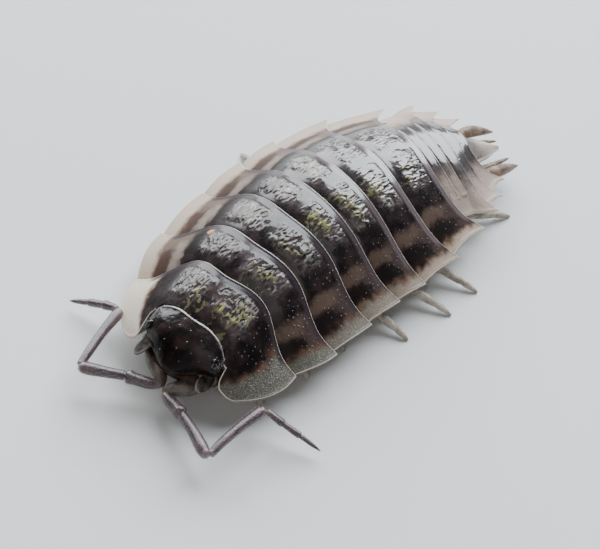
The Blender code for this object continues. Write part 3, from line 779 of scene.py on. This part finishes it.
def back_plate(front, plate, tuck=0.0, swell=SWELL, **grid):
    """A plate that starts under the lip of the one in front, its sides by tuck further forward."""
    def reach(t):
        return t * half_width(plate, t) * plate.front_half / plate.half

    def meet(t):
        return rim(front, np.clip(reach(t), -half_width(front, t), half_width(front, t)))

    def place(t, s):
        begin, end = meet(t), rim_at(plate, t)
        along = (s - begin) / (end - begin)
        shown = np.clip(along, 0, 1)
        narrow = mix(1.0, plate.front_half / plate.half, (1 - shown) ** 2)
        wide = front.span * half_width(front, t) / front.half
        before = MARGIN + (front.crest - MARGIN) * dome(reach(t) / wide) - STEP
        behind = MARGIN + (plate.crest - MARGIN) * dome(t * plate.half / plate.span)
        z = mix(before, behind, along) + swell * np.sin(math.pi * shown ** 0.8)
        return t * half_width(plate, t) * narrow, z, along

    return pillow(plate.name, shell, lambda t: meet(t) - TUCK - tuck * soft(np.abs(t), *TUCK_SIDES),
                  lambda t: rim_at(plate, t), place, plate.half, **grid)


for i, plate in enumerate(PLATES[:BROAD]):
    piece = first_plate() if i == 0 else back_plate(PLATES[i - 1], plate, rank=i / LAST)
    piece = run(relief, piece, seed=i + 1, material=shell, granule=0.036 if i < 3 else 0.030)
    settle(piece, "dark_shell", plate.name)

# %% [markdown]
# ## The tail plates
# Five short plates follow, much paler at their pointed corners. They are built as the back plates are, with
# fewer rows, because each shows about half a millimetre. The point of the tail, the telson, has its own
# outline and a finish that darkens towards its root.

# %% Tail plates
for i, plate in enumerate(PLATES[BROAD:]):
    piece = back_plate(PLATES[BROAD + i - 1], plate, tuck=0.5 if i == 2 else 0.0, swell=0.03,
                       rank=(i + BROAD) / LAST, columns=180, rows=24)
    piece = run(relief, piece, seed=20 + i, material=shell, wrinkle=0.015, granule=0.03, reach=0.5)
    settle(piece, "tail_shell", plate.name)

TELSON_TIP, TELSON_TIP_HEIGHT = 16.92, 0.95
TELSON_ROOT, TELSON_POINT = 0.98, 0.05  # half widths of its root and its tip
TELSON_SIDES, TELSON_THICK = 1.30, 0.16  # height of its root's sides, and its thickness
TELSON_DARK, TELSON_PALE = (0.065, 0.050, 0.048), (0.46, 0.38, 0.31)
TAIL_ASIDE = 0.12           # how far the tip of the tail lies to the left of the midline


def paint_telson(start):
    """Pale grey-beige, darker at its root."""
    place = arrow(start, "place")
    along, edge = number(start, "along"), number(start, "edge")
    back = (along + (place.noise(3.0, 4.0) - 0.5) * 0.5).rise(0.0, 0.85)
    colour = back.colours(TELSON_DARK, TELSON_PALE)
    colour = (1 - edge.rise(0.03, 0.09)).colours(colour, CREAM)
    grain = place.noise(16.0, 3.0)
    return {"Base Color": colour, "Height": grain, "Roughness": 0.38 + grain * 0.15}


tail_finish = finish("tail", paint_telson, bump=0.02, Coat_Weight=0.4, Coat_Roughness=0.15)


def telson():
    """The pointed plate that ends the tail."""
    front = PLATES[-1]

    def begin(t):
        return rim(front, t * TELSON_ROOT) - 0.2

    def place(t, s):
        start = rim(front, t * TELSON_ROOT)
        along = (s - start) / (TELSON_TIP - start)
        k = np.clip(along, 0, 1)
        half = mix(TELSON_ROOT, TELSON_POINT, k ** 0.55) + 0.12 * np.sin(math.pi * k) ** 2
        crest = mix(front.crest - STEP, TELSON_TIP_HEIGHT, k ** 0.8)
        lowest = mix(TELSON_SIDES, TELSON_TIP_HEIGHT - 0.06, k)
        return t * half + TAIL_ASIDE * k, mix(lowest, crest, 1 - t ** 2), along

    return pillow("telson", tail_finish, begin, lambda t: np.full_like(t, TELSON_TIP), place, TELSON_ROOT,
                  columns=90, rows=60, thick=TELSON_THICK)


settle(telson(), "tail_shell", "telson")

# %% [markdown]
# ## Limbs along a path
# Antennae, legs and tail feelers are all the same kind of shape: a tube along a bent line, thinner at each
# joint, with fine bristles. A curve object carries the line and a radius at each of its points. The tree
# sweeps a circle along it, remembers how far along each point lies and which way the limb runs there, and
# then plants bristles that lean with that direction. None are planted close to the floor, where their tips
# would go through it. Only the curve changes from limb to limb.


# %% Limb tree
BRISTLES_FROM = (0.16, 0.18)            # no bristles stand lower than this above the floor


def limb_tree():
    """The tree that turns a path with radii into a bristly limb."""
    start, given = recipe("limb", bristle=0.10, spacing=0.09, lean=1.2, stout=0.006, grain=0.006)
    line = keep(given["Geometry"], "lie", start.node("GeometryNodeInputTangent"), "FLOAT_VECTOR")
    line = keep(line, "along", start.node("GeometryNodeSplineParameter"))
    ring = start.node("GeometryNodeCurvePrimitiveCircle", {"mode": "RADIUS"},
                      {"Resolution": 18, "Radius": 1.0})
    tube = start.node("GeometryNodeCurveToMesh", {},
                      {"Curve": line, "Profile Curve": ring, "Scale": start.node("GeometryNodeInputRadius"),
                       "Fill Caps": True})
    tube = keep(tube, "place", start.node("GeometryNodeInputPosition") * (1 / MM), "FLOAT_VECTOR")
    normal = start.node("GeometryNodeInputNormal")
    rough = named(start, "place", "FLOAT_VECTOR").noise(6.0, 3.0, seed=given["seed"] * 1.0) - 0.5
    tube = shift(tube, normal * (rough * given["grain"] * MM))
    height = start.node("GeometryNodeInputPosition").axis("Z") / MM
    points = scatter(tube, given, height.rise(*BRISTLES_FROM), most=400.0)
    hair = start.node("GeometryNodeMeshCone", {},
                      {"Vertices": 4, "Radius Top": 0.0, "Radius Bottom": 1.0, "Depth": 1.0})
    lie = named(start, "lie", "FLOAT_VECTOR") * given["lean"] + points.output("Normal")
    turn = start.node("FunctionNodeAlignRotationToVector", {"axis": "Z"}, {"Vector": lie})
    long, thin = varied(start, given, 0.6, 1.2) * given["bristle"] * MM, given["stout"] * MM
    hairs = plant(points, hair, turn, start.node("ShaderNodeCombineXYZ", {}, {0: thin, 1: thin, 2: long}))
    marked = keep(hairs.node("GeometryNodeRealizeInstances", {}, {0: hairs}), "hair", 1.0)
    return serve(together(tube, marked), given["material"])


limb = limb_tree()
print("limb tree:", len(limb.nodes), "nodes")

# %% [markdown]
# A limb's path is given as a few rows of u, s, z and radius, as a maker would note them. The next cell passes
# a smooth curve through them and rounds off both ends.


# %% Paths
STEPS, CAP_STEPS = 12, 6    # rings between two given points, and in a rounded end
THINNEST = 0.002            # the least radius of a ring


def smooth_run(line):
    """More rows, on a smooth curve through the given ones."""
    given = np.array(line)
    padded = np.concatenate(([2 * given[0] - given[1]], given, [2 * given[-1] - given[-2]]))
    rows = []
    for a, b, c, d in zip(padded, padded[1:], padded[2:], padded[3:]):
        for k in np.arange(STEPS) / STEPS:
            rows.append(0.5 * (2 * b + (c - a) * k + (2 * a - 5 * b + 4 * c - d) * k ** 2
                               + (3 * b - a - 3 * c + d) * k ** 3))
    return np.array(rows + [given[-1]])


def cap(end, before, blunt):
    """Ever smaller rings that round off an end of a path."""
    way = (end - before)[:3] / np.linalg.norm((end - before)[:3])
    return np.array([(*(end[:3] + way * end[3] * blunt * np.sin(a)), end[3] * np.cos(a))
                     for a in np.linspace(0, math.pi / 2, CAP_STEPS + 1)[1:]])


def path(name, line, blunt):
    """A curve object along a line of (u, s, z, radius)."""
    rows = smooth_run(line)
    rows = np.concatenate((cap(rows[0], rows[1], blunt[0])[::-1], rows, cap(rows[-1], rows[-2], blunt[1])))
    curve = bpy.data.curves.new(name, "CURVE")
    curve.dimensions = "3D"
    spline = curve.splines.new("POLY")
    spline.points.add(len(rows) - 1)
    spline.points.foreach_set("co", np.column_stack((bend(rows[:, :3]), np.ones(len(rows)))).ravel())
    spline.points.foreach_set("radius", np.maximum(rows[:, 3], THINNEST) * MM)
    return put(name, curve)


print("paths: a smooth curve through the given rows,", STEPS, "rings to a stretch")

# %% [markdown]
# ## The antennae
# A woodlouse's antenna has a short thick base, three longer articles and a three-jointed lash. On the live
# animal they are brown to purple-grey under a pale pile of fine bristles, with a pale ring at each joint.
# Each of the four lengths is one limb. At a joint the radius swells to a collar and then drops sharply.

# %% Antenna finish and antennae
ANTENNAE = {
    "right": {
        "base": ((-1.06, 1.66, 0.88, 0.24), (-0.78, 1.42, 0.95, 0.28), (-0.45, 1.20, 0.98, 0.26),
                 (-0.21, 1.02, 0.96, 0.22), (-0.11, 0.88, 0.91, 0.18), (-0.14, 0.80, 0.87, 0.14)),
        "arm": ((-0.18, 0.76, 0.84, 0.15), (-0.42, 0.63, 0.88, 0.19), (-0.78, 0.47, 0.97, 0.20),
                (-0.98, 0.39, 1.01, 0.23), (-1.06, 0.36, 1.03, 0.20), (-1.12, 0.33, 1.04, 0.13),
                (-1.20, 0.30, 1.04, 0.16), (-1.65, 0.07, 1.08, 0.18), (-2.10, -0.15, 1.13, 0.21),
                (-2.30, -0.25, 1.15, 0.19)),
        "shaft": ((-2.46, -0.20, 1.16, 0.13), (-2.56, 0.30, 1.15, 0.15), (-2.71, 1.20, 1.11, 0.16),
                  (-2.79, 2.00, 1.06, 0.19), (-2.81, 2.12, 1.06, 0.16)),
        "flagellum": ((-2.98, 2.25, 1.02, 0.11), (-3.44, 2.22, 0.86, 0.16), (-3.52, 2.21, 0.83, 0.11),
                      (-3.60, 2.19, 0.80, 0.13), (-4.02, 2.11, 0.65, 0.13), (-4.10, 2.09, 0.62, 0.08),
                      (-4.20, 2.06, 0.58, 0.10), (-4.55, 1.97, 0.44, 0.07), (-4.75, 1.92, 0.36, 0.02)),
    },
    "left": {
        "base": ((1.04, 1.60, 0.88, 0.24), (0.84, 1.32, 0.95, 0.29), (0.62, 1.08, 0.97, 0.28),
                 (0.42, 0.90, 0.94, 0.24), (0.28, 0.76, 0.90, 0.19), (0.26, 0.67, 0.87, 0.14)),
        "arm": ((0.30, 0.60, 0.86, 0.15), (0.55, 0.50, 0.90, 0.19), (0.92, 0.38, 0.97, 0.20),
                (1.10, 0.31, 1.01, 0.23), (1.18, 0.28, 1.03, 0.20), (1.24, 0.25, 1.04, 0.13),
                (1.33, 0.21, 1.04, 0.16), (1.90, -0.06, 1.09, 0.18), (2.45, -0.37, 1.14, 0.21),
                (2.66, -0.48, 1.15, 0.19)),
        "shaft": ((2.85, -0.40, 1.16, 0.13), (2.88, 0.10, 1.16, 0.15), (3.00, 0.95, 1.13, 0.16),
                  (3.15, 1.68, 1.07, 0.19), (3.18, 1.80, 1.06, 0.16)),
        "flagellum": ((3.34, 1.94, 1.02, 0.10), (3.86, 1.96, 0.85, 0.13), (3.94, 1.96, 0.83, 0.08),
                      (4.03, 1.97, 0.80, 0.10), (4.48, 2.01, 0.65, 0.11), (4.56, 2.02, 0.62, 0.07),
                      (4.66, 2.03, 0.59, 0.08), (5.05, 2.06, 0.45, 0.06), (5.28, 2.08, 0.36, 0.02)),
    },
}
BRISTLE = (0.31, 0.28, 0.28)


def paint_limb(dark, light, pale):
    """A paint for limbs: mottled, with pale bristles and paler ends."""
    def paint(start):
        place, along = arrow(start, "place"), number(start, "along")
        cloud = place.noise(3.0, 4.0)
        colour = cloud.rise(0.35, 0.65).colours(dark, light)
        tips = 1 - along.between(0.05, 0.95, 0.04)
        colour = (tips * 0.6).colours(colour, pale)
        colour = number(start, "hair").colours(colour, BRISTLE)
        grain = place.noise(20.0, 3.0)
        return {"Base Color": colour, "Height": grain, "Roughness": 0.30 + grain * 0.2}
    return paint


horn_base = finish("antenna_base", paint_limb((0.055, 0.038, 0.030), (0.150, 0.115, 0.092),
                                              (0.28, 0.22, 0.17)), bump=0.03, Specular_IOR_Level=0.7)
horn = finish("antenna", paint_limb((0.022, 0.008, 0.010), (0.074, 0.036, 0.043), (0.25, 0.18, 0.17)),
              bump=0.03, Specular_IOR_Level=0.6, Coat_Weight=0.6, Coat_Roughness=0.22)
sparse = {"material": horn_base, "bristle": 0.07, "spacing": 0.16}
dense = {"material": horn, "bristle": 0.10, "spacing": 0.085}
for side, lengths in ANTENNAE.items():
    for i, (part, line) in enumerate(lengths.items()):
        name = f"antenna_{side}_{part}"
        piece = path(name, line, blunt=(0.5, 1.0))
        piece = run(limb, piece, seed=30 + i, **(sparse if part == "base" else dense))
        settle(piece, "antenna_brown", name)

# %% [markdown]
# ## The legs
# Fourteen walking legs run from under the plates to the floor. Each has a stout first article, three knees
# and a foot that tapers to a small claw. The paths are worked out in a loop from the hip's and the foot's
# places and one shared profile of heights and radii, so all legs are of one kind and no two are the same.

# %% Legs
SIDES = (("left", 1), ("right", -1))
FEET = {                    # u and s of each foot
    "left": ((2.75, 2.45), (3.35, 4.35), (3.55, 6.30), (4.76, 8.50), (4.97, 10.80), (4.76, 12.50),
             (2.56, 16.00)),
    "right": ((2.75, 2.75), (3.30, 4.80), (3.45, 6.00), (3.80, 8.20), (5.05, 9.75), (3.95, 12.40),
              (3.00, 14.90)),
}
HIPS = (3.35, 4.95, 6.45, 7.90, 9.20, 10.60, 12.15)
HIP_OUT = (1.45, 1.85, 2.00, 2.05, 2.05, 1.95, 1.65)
LEG_RUN = (                 # share of the way out, height and radius
    (0.0, 0.80, 0.24), (0.08, 0.58, 0.25), (0.24, 0.64, 0.23), (0.34, 0.66, 0.17), (0.40, 0.64, 0.20),
    (0.54, 0.54, 0.18), (0.60, 0.49, 0.13), (0.66, 0.44, 0.155), (0.78, 0.32, 0.135), (0.83, 0.26, 0.10),
    (0.87, 0.22, 0.115), (0.95, 0.13, 0.085), (1.0, 0.05, 0.05))

pale_leg = finish("leg", paint_limb((0.22, 0.18, 0.14), (0.42, 0.37, 0.30), (0.30, 0.24, 0.18)), bump=0.03)
for side, sign in SIDES:
    for i in range(len(HIPS)):
        foot_u, foot_s = FEET[side][i]
        line = [(sign * mix(HIP_OUT[i], foot_u, k), mix(HIPS[i], foot_s, k), z, r) for k, z, r in LEG_RUN]
        name = f"leg_{side}_{i + 1}"
        piece = path(name, line, blunt=(0.5, 0.8))
        settle(run(limb, piece, seed=50 + i, material=pale_leg, spacing=0.16, bristle=0.12), "pale_leg", name)

# %% [markdown]
# ## The uropods
# Two feelers stick out behind the tail, one on each side of its point. Each has a short stalk under the tail,
# a brown lance-shaped outer branch, and a thinner inner branch, which the tail covers for half of its length.

# %% Uropods
UROPOD = ((1.00, 15.80, 0.98, 0.17), (1.04, 16.10, 0.96, 0.22), (1.02, 16.45, 0.90, 0.21),
          (0.96, 16.85, 0.78, 0.14), (0.90, 17.20, 0.66, 0.04))
INNER_BRANCH = ((0.62, 15.75, 0.80, 0.12), (0.58, 16.30, 0.74, 0.11), (0.50, 16.85, 0.68, 0.07),
                (0.46, 17.10, 0.64, 0.03))
fork = finish("uropod", paint_limb((0.085, 0.052, 0.034), (0.27, 0.18, 0.115), (0.46, 0.33, 0.22)), bump=0.03)
for side, sign in SIDES:
    name = f"uropod_{side}"
    for branch, points, nodes in ((name, UROPOD, [name]), (f"{name}_inner", INNER_BRANCH, [])):
        line = [(sign * u + TAIL_ASIDE, s, z, radius) for u, s, z, radius in points]
        piece = path(branch, line, blunt=(0.5, 1.5))
        piece = run(limb, piece, seed=70 + sign, material=fork, spacing=0.10, bristle=0.10)
        settle(piece, "antenna_brown", *nodes)

# %% [markdown]
# ## Soft unions
# The head isn't made of separate lumps: the face below it, its side lobes, the ridge along its brow and its
# hind border all grow out of one capsule. Such a shape is easiest to make from overlapping closed meshes that
# are melted together. The Remesh modifier in Voxel mode does that, and a few passes of smoothing take its
# steps away. The pieces are given in millimetres on the straight body, and the melted mesh is bent last.

# %% Melting shapes together
VOXEL, PASSES = 0.024, 6    # the steps in millimetres, and the rounds of smoothing
BALL_RINGS, BALL_SIDES, ROPE_SIDES = 24, 40, 12


def loft(rings):
    """Close a row of equal rings into a solid, with a fan on each end."""
    rings = np.asarray(rings, float)
    count, sides = rings.shape[:2]
    points = rings.reshape(-1, 3).tolist()
    faces = [(a + i, a + (i + 1) % sides, a + sides + (i + 1) % sides, a + sides + i)
             for a in range(0, (count - 1) * sides, sides) for i in range(sides)]
    for first in (0, (count - 1) * sides):
        points.append(np.mean(points[first:first + sides], axis=0).tolist())
        faces += [(first + i, first + (i + 1) % sides, len(points) - 1) for i in range(sides)]
    return points, faces


def ball(centre, size, tilt=0.0):
    """An ellipsoid with its poles above and below, tilted sideways by an angle."""
    rings = []
    around = np.linspace(0, 2 * math.pi, BALL_SIDES, endpoint=False)
    for a in np.linspace(0, math.pi, BALL_RINGS + 2)[1:-1]:
        x, y = size[0] * np.sin(a) * np.cos(around), size[1] * np.sin(a) * np.sin(around)
        z = size[2] * np.cos(a)
        rings.append(np.stack((centre[0] + x * math.cos(tilt) + z * math.sin(tilt), centre[1] + y,
                               centre[2] - x * math.sin(tilt) + z * math.cos(tilt)), -1))
    return loft(rings)


def rope(line, radius):
    """A round rope through a line of places."""
    line = np.asarray(line, float)
    ways = np.gradient(line, axis=0)
    rings = []
    for centre, way, size in zip(line, ways, np.broadcast_to(radius, len(line))):
        way = Vector(way).normalized()
        side = way.cross(Vector((0, 0, 1))).normalized()
        lift = side.cross(way)
        rings.append([centre + size * (math.cos(a) * np.array(side) + math.sin(a) * np.array(lift))
                      for a in np.linspace(0, 2 * math.pi, ROPE_SIDES, endpoint=False)])
    return loft(rings)


def vectors(data, field):
    """A table of the vectors kept in mesh data."""
    values = np.empty(len(data) * 3)
    data.foreach_get(field, values)
    return values.reshape(-1, 3)


def melt(name, solids, material):
    """Melt closed solids on the straight body into one smooth mesh, then bend it into place."""
    points, faces = [], []
    for some_points, some_faces in solids:
        faces += [tuple(i + len(points) for i in face) for face in some_faces]
        points += [tuple(point) for point in some_points]
    mesh = bpy.data.meshes.new(name)
    mesh.from_pydata(points, [], faces)
    work = bmesh.new()
    work.from_mesh(mesh)
    bmesh.ops.recalc_face_normals(work, faces=work.faces)
    work.to_mesh(mesh)
    work.free()
    rough = put(name, mesh)
    remesh = rough.modifiers.new("melt", "REMESH")
    remesh.mode, remesh.voxel_size = "VOXEL", VOXEL
    even = rough.modifiers.new("even", "SMOOTH")
    even.factor, even.iterations = 0.5, PASSES
    melted = freeze(rough)
    places, faces = vectors(melted.vertices, "co"), [tuple(face.vertices) for face in melted.polygons]
    bpy.data.meshes.remove(melted)
    return skin(name, places, faces, material)


print("melting: steps of", VOXEL, "mm")

# %% [markdown]
# ## The head
# The head is a squat dark capsule, domed above, with a brow line round its front, a face below that line,
# and two thin lobes like small dishes beside the antennae. Its sections are squarish ellipses. They are given
# at a few stations and read off in between by a smooth curve, and the last ones follow the sweep of its hind
# border, where a thin pale rope makes the rim. After melting, each point is marked by how near it is to these
# lines and lobes, for the finish to colour. A node tree then makes the dome uneven and sets knobs on it. The
# coat covers only the hind part and the knobs, because the front of a live head looks almost dull.

# %% Head
HEAD = (                    # station, half width, top and bottom
    (1.04, 0.20, 1.72, 1.50),
    (1.14, 0.40, 1.86, 1.34),
    (1.30, 0.64, 2.04, 1.20),
    (1.50, 0.96, 2.24, 1.05),
    (1.74, 1.30, 2.40, 0.97),
    (2.05, 1.47, 2.54, 0.94),
    (2.52, 1.51, 2.66, 0.98),
)
HEAD_ASIDE = 0.02           # its middle lies this much to the left
HEAD_MIDDLE, HEAD_SQUARE = 0.45, 0.87
LOBE_AT, LOBE_SIZE, LOBE_TILT = (1.22, 1.45, 1.38), (0.27, 0.46, 0.10), 0.50
FACE_AT, FACE_SIZE = (HEAD_ASIDE, 1.92, 1.16), (1.56, 0.80, 0.42)
BROW_ENDS, LINE_THICK = 0.58, 0.020     # where the brow line ends, as a share, and the radius of both lines
HEAD_DARK, HEAD_UMBER = (0.004, 0.002, 0.002), (0.026, 0.014, 0.012)
FACE_DARK, FACE_BROWN = (0.012, 0.007, 0.005), (0.060, 0.033, 0.020)
LOBE_DARK, LOBE_GREY = (0.018, 0.014, 0.013), (0.070, 0.058, 0.050)
BRIM, BROW, BORDER = (0.30, 0.27, 0.23), (0.15, 0.10, 0.07), (0.66, 0.61, 0.58)


def on_side(place, side):
    """A place of the head's left side, or its mirror place on the right."""
    return side * place[0] + HEAD_ASIDE, *place[1:]


def head_section(share):
    """Station, half width, top and bottom of the head a share of the way back, on a smooth curve."""
    rows = smooth_run(HEAD)
    return np.array([np.interp(share, np.linspace(0, 1, len(rows)), column) for column in rows.T])


def head_point(share, angle):
    """A place on the head: a share of the way back, and an angle round it from its left side."""
    s, half, top, bottom = head_section(share)
    middle = mix(bottom, top, HEAD_MIDDLE)
    across, lift = np.cos(angle), np.sin(angle)
    u = half * np.sign(across) * np.abs(across) ** HEAD_SQUARE
    reach = np.where(lift > 0, top - middle, middle - bottom)
    z = middle + reach * np.sign(lift) * np.abs(lift) ** HEAD_SQUARE
    swept = through(HEAD_RIM.sweep, np.abs(u) / HEAD_RIM.half) - HEAD_TURN * u
    return np.stack((u + HEAD_ASIDE, s + share ** 3 * swept, z), -1)


def paint_head(start):
    """Near black, brown below, glossy, with a pale hind border and grey lobes."""
    place = arrow(start, "place")
    lobe, border = number(start, "lobe"), number(start, "border")
    colour = place.noise(1.8, 4.0).rise(0.40, 0.70).colours(HEAD_DARK, HEAD_UMBER)
    brown = place.noise(3.0, 3.0, seed=6.0).rise(0.35, 0.65).colours(FACE_DARK, FACE_BROWN)
    colour = (1 - place.axis("Z").rise(1.20, 1.65)).colours(colour, brown)
    colour = lobe.colours(colour, place.noise(5.0, 3.0).rise(0.35, 0.65).colours(LOBE_DARK, LOBE_GREY))
    colour = (number(start, "brim") * 0.5).colours(colour, BRIM)
    colour = (number(start, "brow") * 0.5).colours(colour, BROW)
    colour = border.colours(colour, BORDER)
    grain = place.noise(13.0, 4.0)
    return {"Base Color": colour, "Height": place.noise(4.0, 2.0, seed=16.0) + grain * 0.15,
            "Roughness": 0.24 + grain * 0.14 + lobe * 0.35 + border * 0.2,
            "Coat Weight": number(start, "shine")}


def near_line(places, line, reach):
    """1 on a line of places, falling to 0 at reach."""
    gap = np.min(np.linalg.norm(places[:, None] - np.asarray(line)[None], axis=2), axis=1)
    return 1 - soft(gap, reach * 0.6, reach)


def on_lobe(places, side):
    """How near places are to a side lobe, and how near they are to its edge."""
    x, y, z = (places - on_side(LOBE_AT, side)).T
    tilt = side * LOBE_TILT
    x, z = x * math.cos(tilt) - z * math.sin(tilt), x * math.sin(tilt) + z * math.cos(tilt)
    flat = np.hypot(x / LOBE_SIZE[0], y / LOBE_SIZE[1])
    near = 1 - soft(np.hypot(flat, z / LOBE_SIZE[2]), 1.05, 1.3)
    return near, near * soft(flat, 0.78, 0.92)


def head_tree():
    """The tree that makes the head uneven and sets a few shiny knobs on it."""
    start, given = recipe("head", swell=0.060, grain=0.045, knob=0.034, spacing=0.34)
    place, normal = named(start, "place", "FLOAT_VECTOR"), start.node("GeometryNodeInputNormal")
    plain = (1 - named(start, "border")) * (1 - named(start, "lobe")) * (1 - named(start, "brow"))
    top, aft = normal.axis("Z").rise(0.2, 0.6) * plain, place.axis("Y").rise(1.45, 2.10)
    height = (place.noise(1.9, 1.0, seed=21.0) - 0.5) * given["swell"] * top
    height = height + (place.noise(4.2, 2.0, seed=22.0) - 0.5) * given["grain"] * plain
    lifted = keep(shift(given["Geometry"], normal * (height * MM)), "shine", aft * 0.5)
    points = scatter(lifted, given, top, most=20.0)
    knobs = warts(points, given, "knob", (12, 7), (0.5, 1.2), flat=0.45, gloss=("shine", 1.0))
    return serve(together(lifted, knobs), given["material"])


head_finish = finish("head", paint_head, bump=0.028, Coat_Roughness=0.27, Coat_IOR=1.7,
                     Specular_IOR_Level=0.10)
turns = np.linspace(0, 2 * math.pi, 72, endpoint=False)
capsule = loft([head_point(share, turns) for share in np.linspace(0, 1, 40)])
lobes = [ball(on_side(LOBE_AT, side), LOBE_SIZE, side * LOBE_TILT) for side in (-1, 1)]
border = head_point(0.985, np.linspace(math.radians(20), math.radians(160), 80))
shares = np.linspace(BROW_ENDS, 0.0, 50)
brow = [head_point(share, 0.0) for share in shares] + [head_point(share, math.pi) for share in shares[::-1]]
face = ball(FACE_AT, FACE_SIZE)
head = melt("head", [capsule, face, *lobes, rope(border, LINE_THICK), rope(brow, LINE_THICK)], head_finish)
places = vectors(head.data.attributes["place"].data, "vector")
left_lobe, right_lobe = on_lobe(places, 1), on_lobe(places, -1)
mark(head.data, border=near_line(places, border, 0.033) * (1 - 0.7 * soft(np.abs(places[:, 0]), 0.5, 1.3)),
     brow=near_line(places, brow, 0.045) * (1 - 0.7 * soft(places[:, 0], -0.2, 0.5)),
     lobe=left_lobe[0] + right_lobe[0], brim=left_lobe[1] + right_lobe[1])
settle(run(head_tree(), head, seed=5, material=head_finish), "head_shell", "head")

# %% [markdown]
# ## The eyes
# Each eye is a cluster of simple eyes, low black beads on the side of the head. The corners of an icosphere
# are spread as evenly as such beads are, so the tree puts a small bead on each corner that faces outward. The
# ball between them is flattened and sunk, so that an eye stands out no further than a real one does.

# %% Eyes
EYE_AT, EYE_OUT, EYE_SIZE = (1.30, 1.92, 1.95), (0.88, 0.0, 0.47), (0.25, 0.11)
EYE_RAISED = 0.03


def paint_eye(start):
    """Black with a faint brown depth."""
    place = arrow(start, "place")
    return {"Base Color": place.noise(9.0, 2.0).colours((0.002, 0.002, 0.002), (0.010, 0.006, 0.005)),
            "Roughness": place.noise(20.0, 2.0) * 0.2 + 0.02}


def eye_tree():
    """Beads on the outward corners of a flattened icosphere."""
    start, given = recipe("eye", bead=0.038)
    beads = start.node("GeometryNodeMeshUVSphere", {},
                       {"Segments": 10, "Rings": 7, "Radius": given["bead"] * MM})
    out = named(start, "outer").rise(0.35, 0.45)
    shown = out.node("FunctionNodeCompare", {"operation": "GREATER_THAN"}, {0: out, 1: 0.5})
    spots = start.node("GeometryNodeInstanceOnPoints", {},
                       {"Points": given["Geometry"], "Instance": beads, "Selection": shown})
    return serve(together(given["Geometry"], spots), given["material"])


bead_finish = finish("eye", paint_eye, Specular_IOR_Level=0.6)
beads = eye_tree()
for side, sign in SIDES:
    out = Vector((sign * EYE_OUT[0], *EYE_OUT[1:])).normalized()
    ball_mesh = bmesh.new()
    bmesh.ops.create_icosphere(ball_mesh, subdivisions=2, radius=1.0)
    centre = Vector(on_side(EYE_AT, sign)) + out * EYE_RAISED
    back = Vector((0, 1, 0))
    up = back.cross(out)
    corners = [v.co.copy() for v in ball_mesh.verts]
    points = [centre + out * c.z * EYE_SIZE[1] + back * c.x * EYE_SIZE[0] + up * c.y * EYE_SIZE[0]
              for c in corners]
    faces = [tuple(v.index for v in face.verts) for face in ball_mesh.faces]
    ball_mesh.free()
    mound = skin(f"eye_{side}", points, faces, bead_finish, outer=[c.z for c in corners])
    settle(run(beads, mound, material=bead_finish), "eye", f"eye_{side}")

# %% [markdown]
# ## Underneath
# The mouthparts close the head from below as two flat leaf-shaped plates. Under the tail lie five pairs of
# thin breathing plates, each overlapping the next. The camera doesn't see them, so they are kept simple, but
# they have the right number and order.

# %% Mouthparts and breathing plates
GILL_PAIRS, GILLS_FROM, GILLS_TO = 5, 13.45, 15.45
GILLS_WIDE, GILL_SIZE = (0.48, 0.32), (0.42, 0.10)
MOUTH_AT, MOUTH_SIZE = (1.90, 0.62), (0.55, 0.45, 0.17)


def paint_soft(start):
    """Pale and slightly mottled."""
    place = arrow(start, "place")
    grain = place.noise(9.0, 3.0)
    return {"Base Color": place.noise(2.5, 3.0).colours((0.38, 0.31, 0.24), (0.56, 0.49, 0.40)),
            "Height": grain, "Roughness": 0.45 + grain * 0.2}


soft_skin = finish("underside", paint_soft, bump=0.02, Coat_Weight=0.2, Coat_Roughness=0.3)
leaves = [ball((side * MOUTH_SIZE[0] * 0.48, *MOUTH_AT), (MOUTH_SIZE[0] * 0.52, *MOUTH_SIZE[1:]), side * 0.15)
          for side in (-1, 1)]
settle(melt("mouthparts", leaves, soft_skin), "pale_leg", "mouthparts")
gills = []
for pair, share in enumerate(np.linspace(0, 1, GILL_PAIRS)):
    s, wide = mix(GILLS_FROM, GILLS_TO, share), mix(*GILLS_WIDE, share)
    gills += [ball((side * wide, s, 0.66 - 0.02 * pair), (wide * 1.05, *GILL_SIZE), side * -0.12)
              for side in (-1, 1)]
settle(melt("pleopods", gills, soft_skin), "pale_leg", "pleopods")
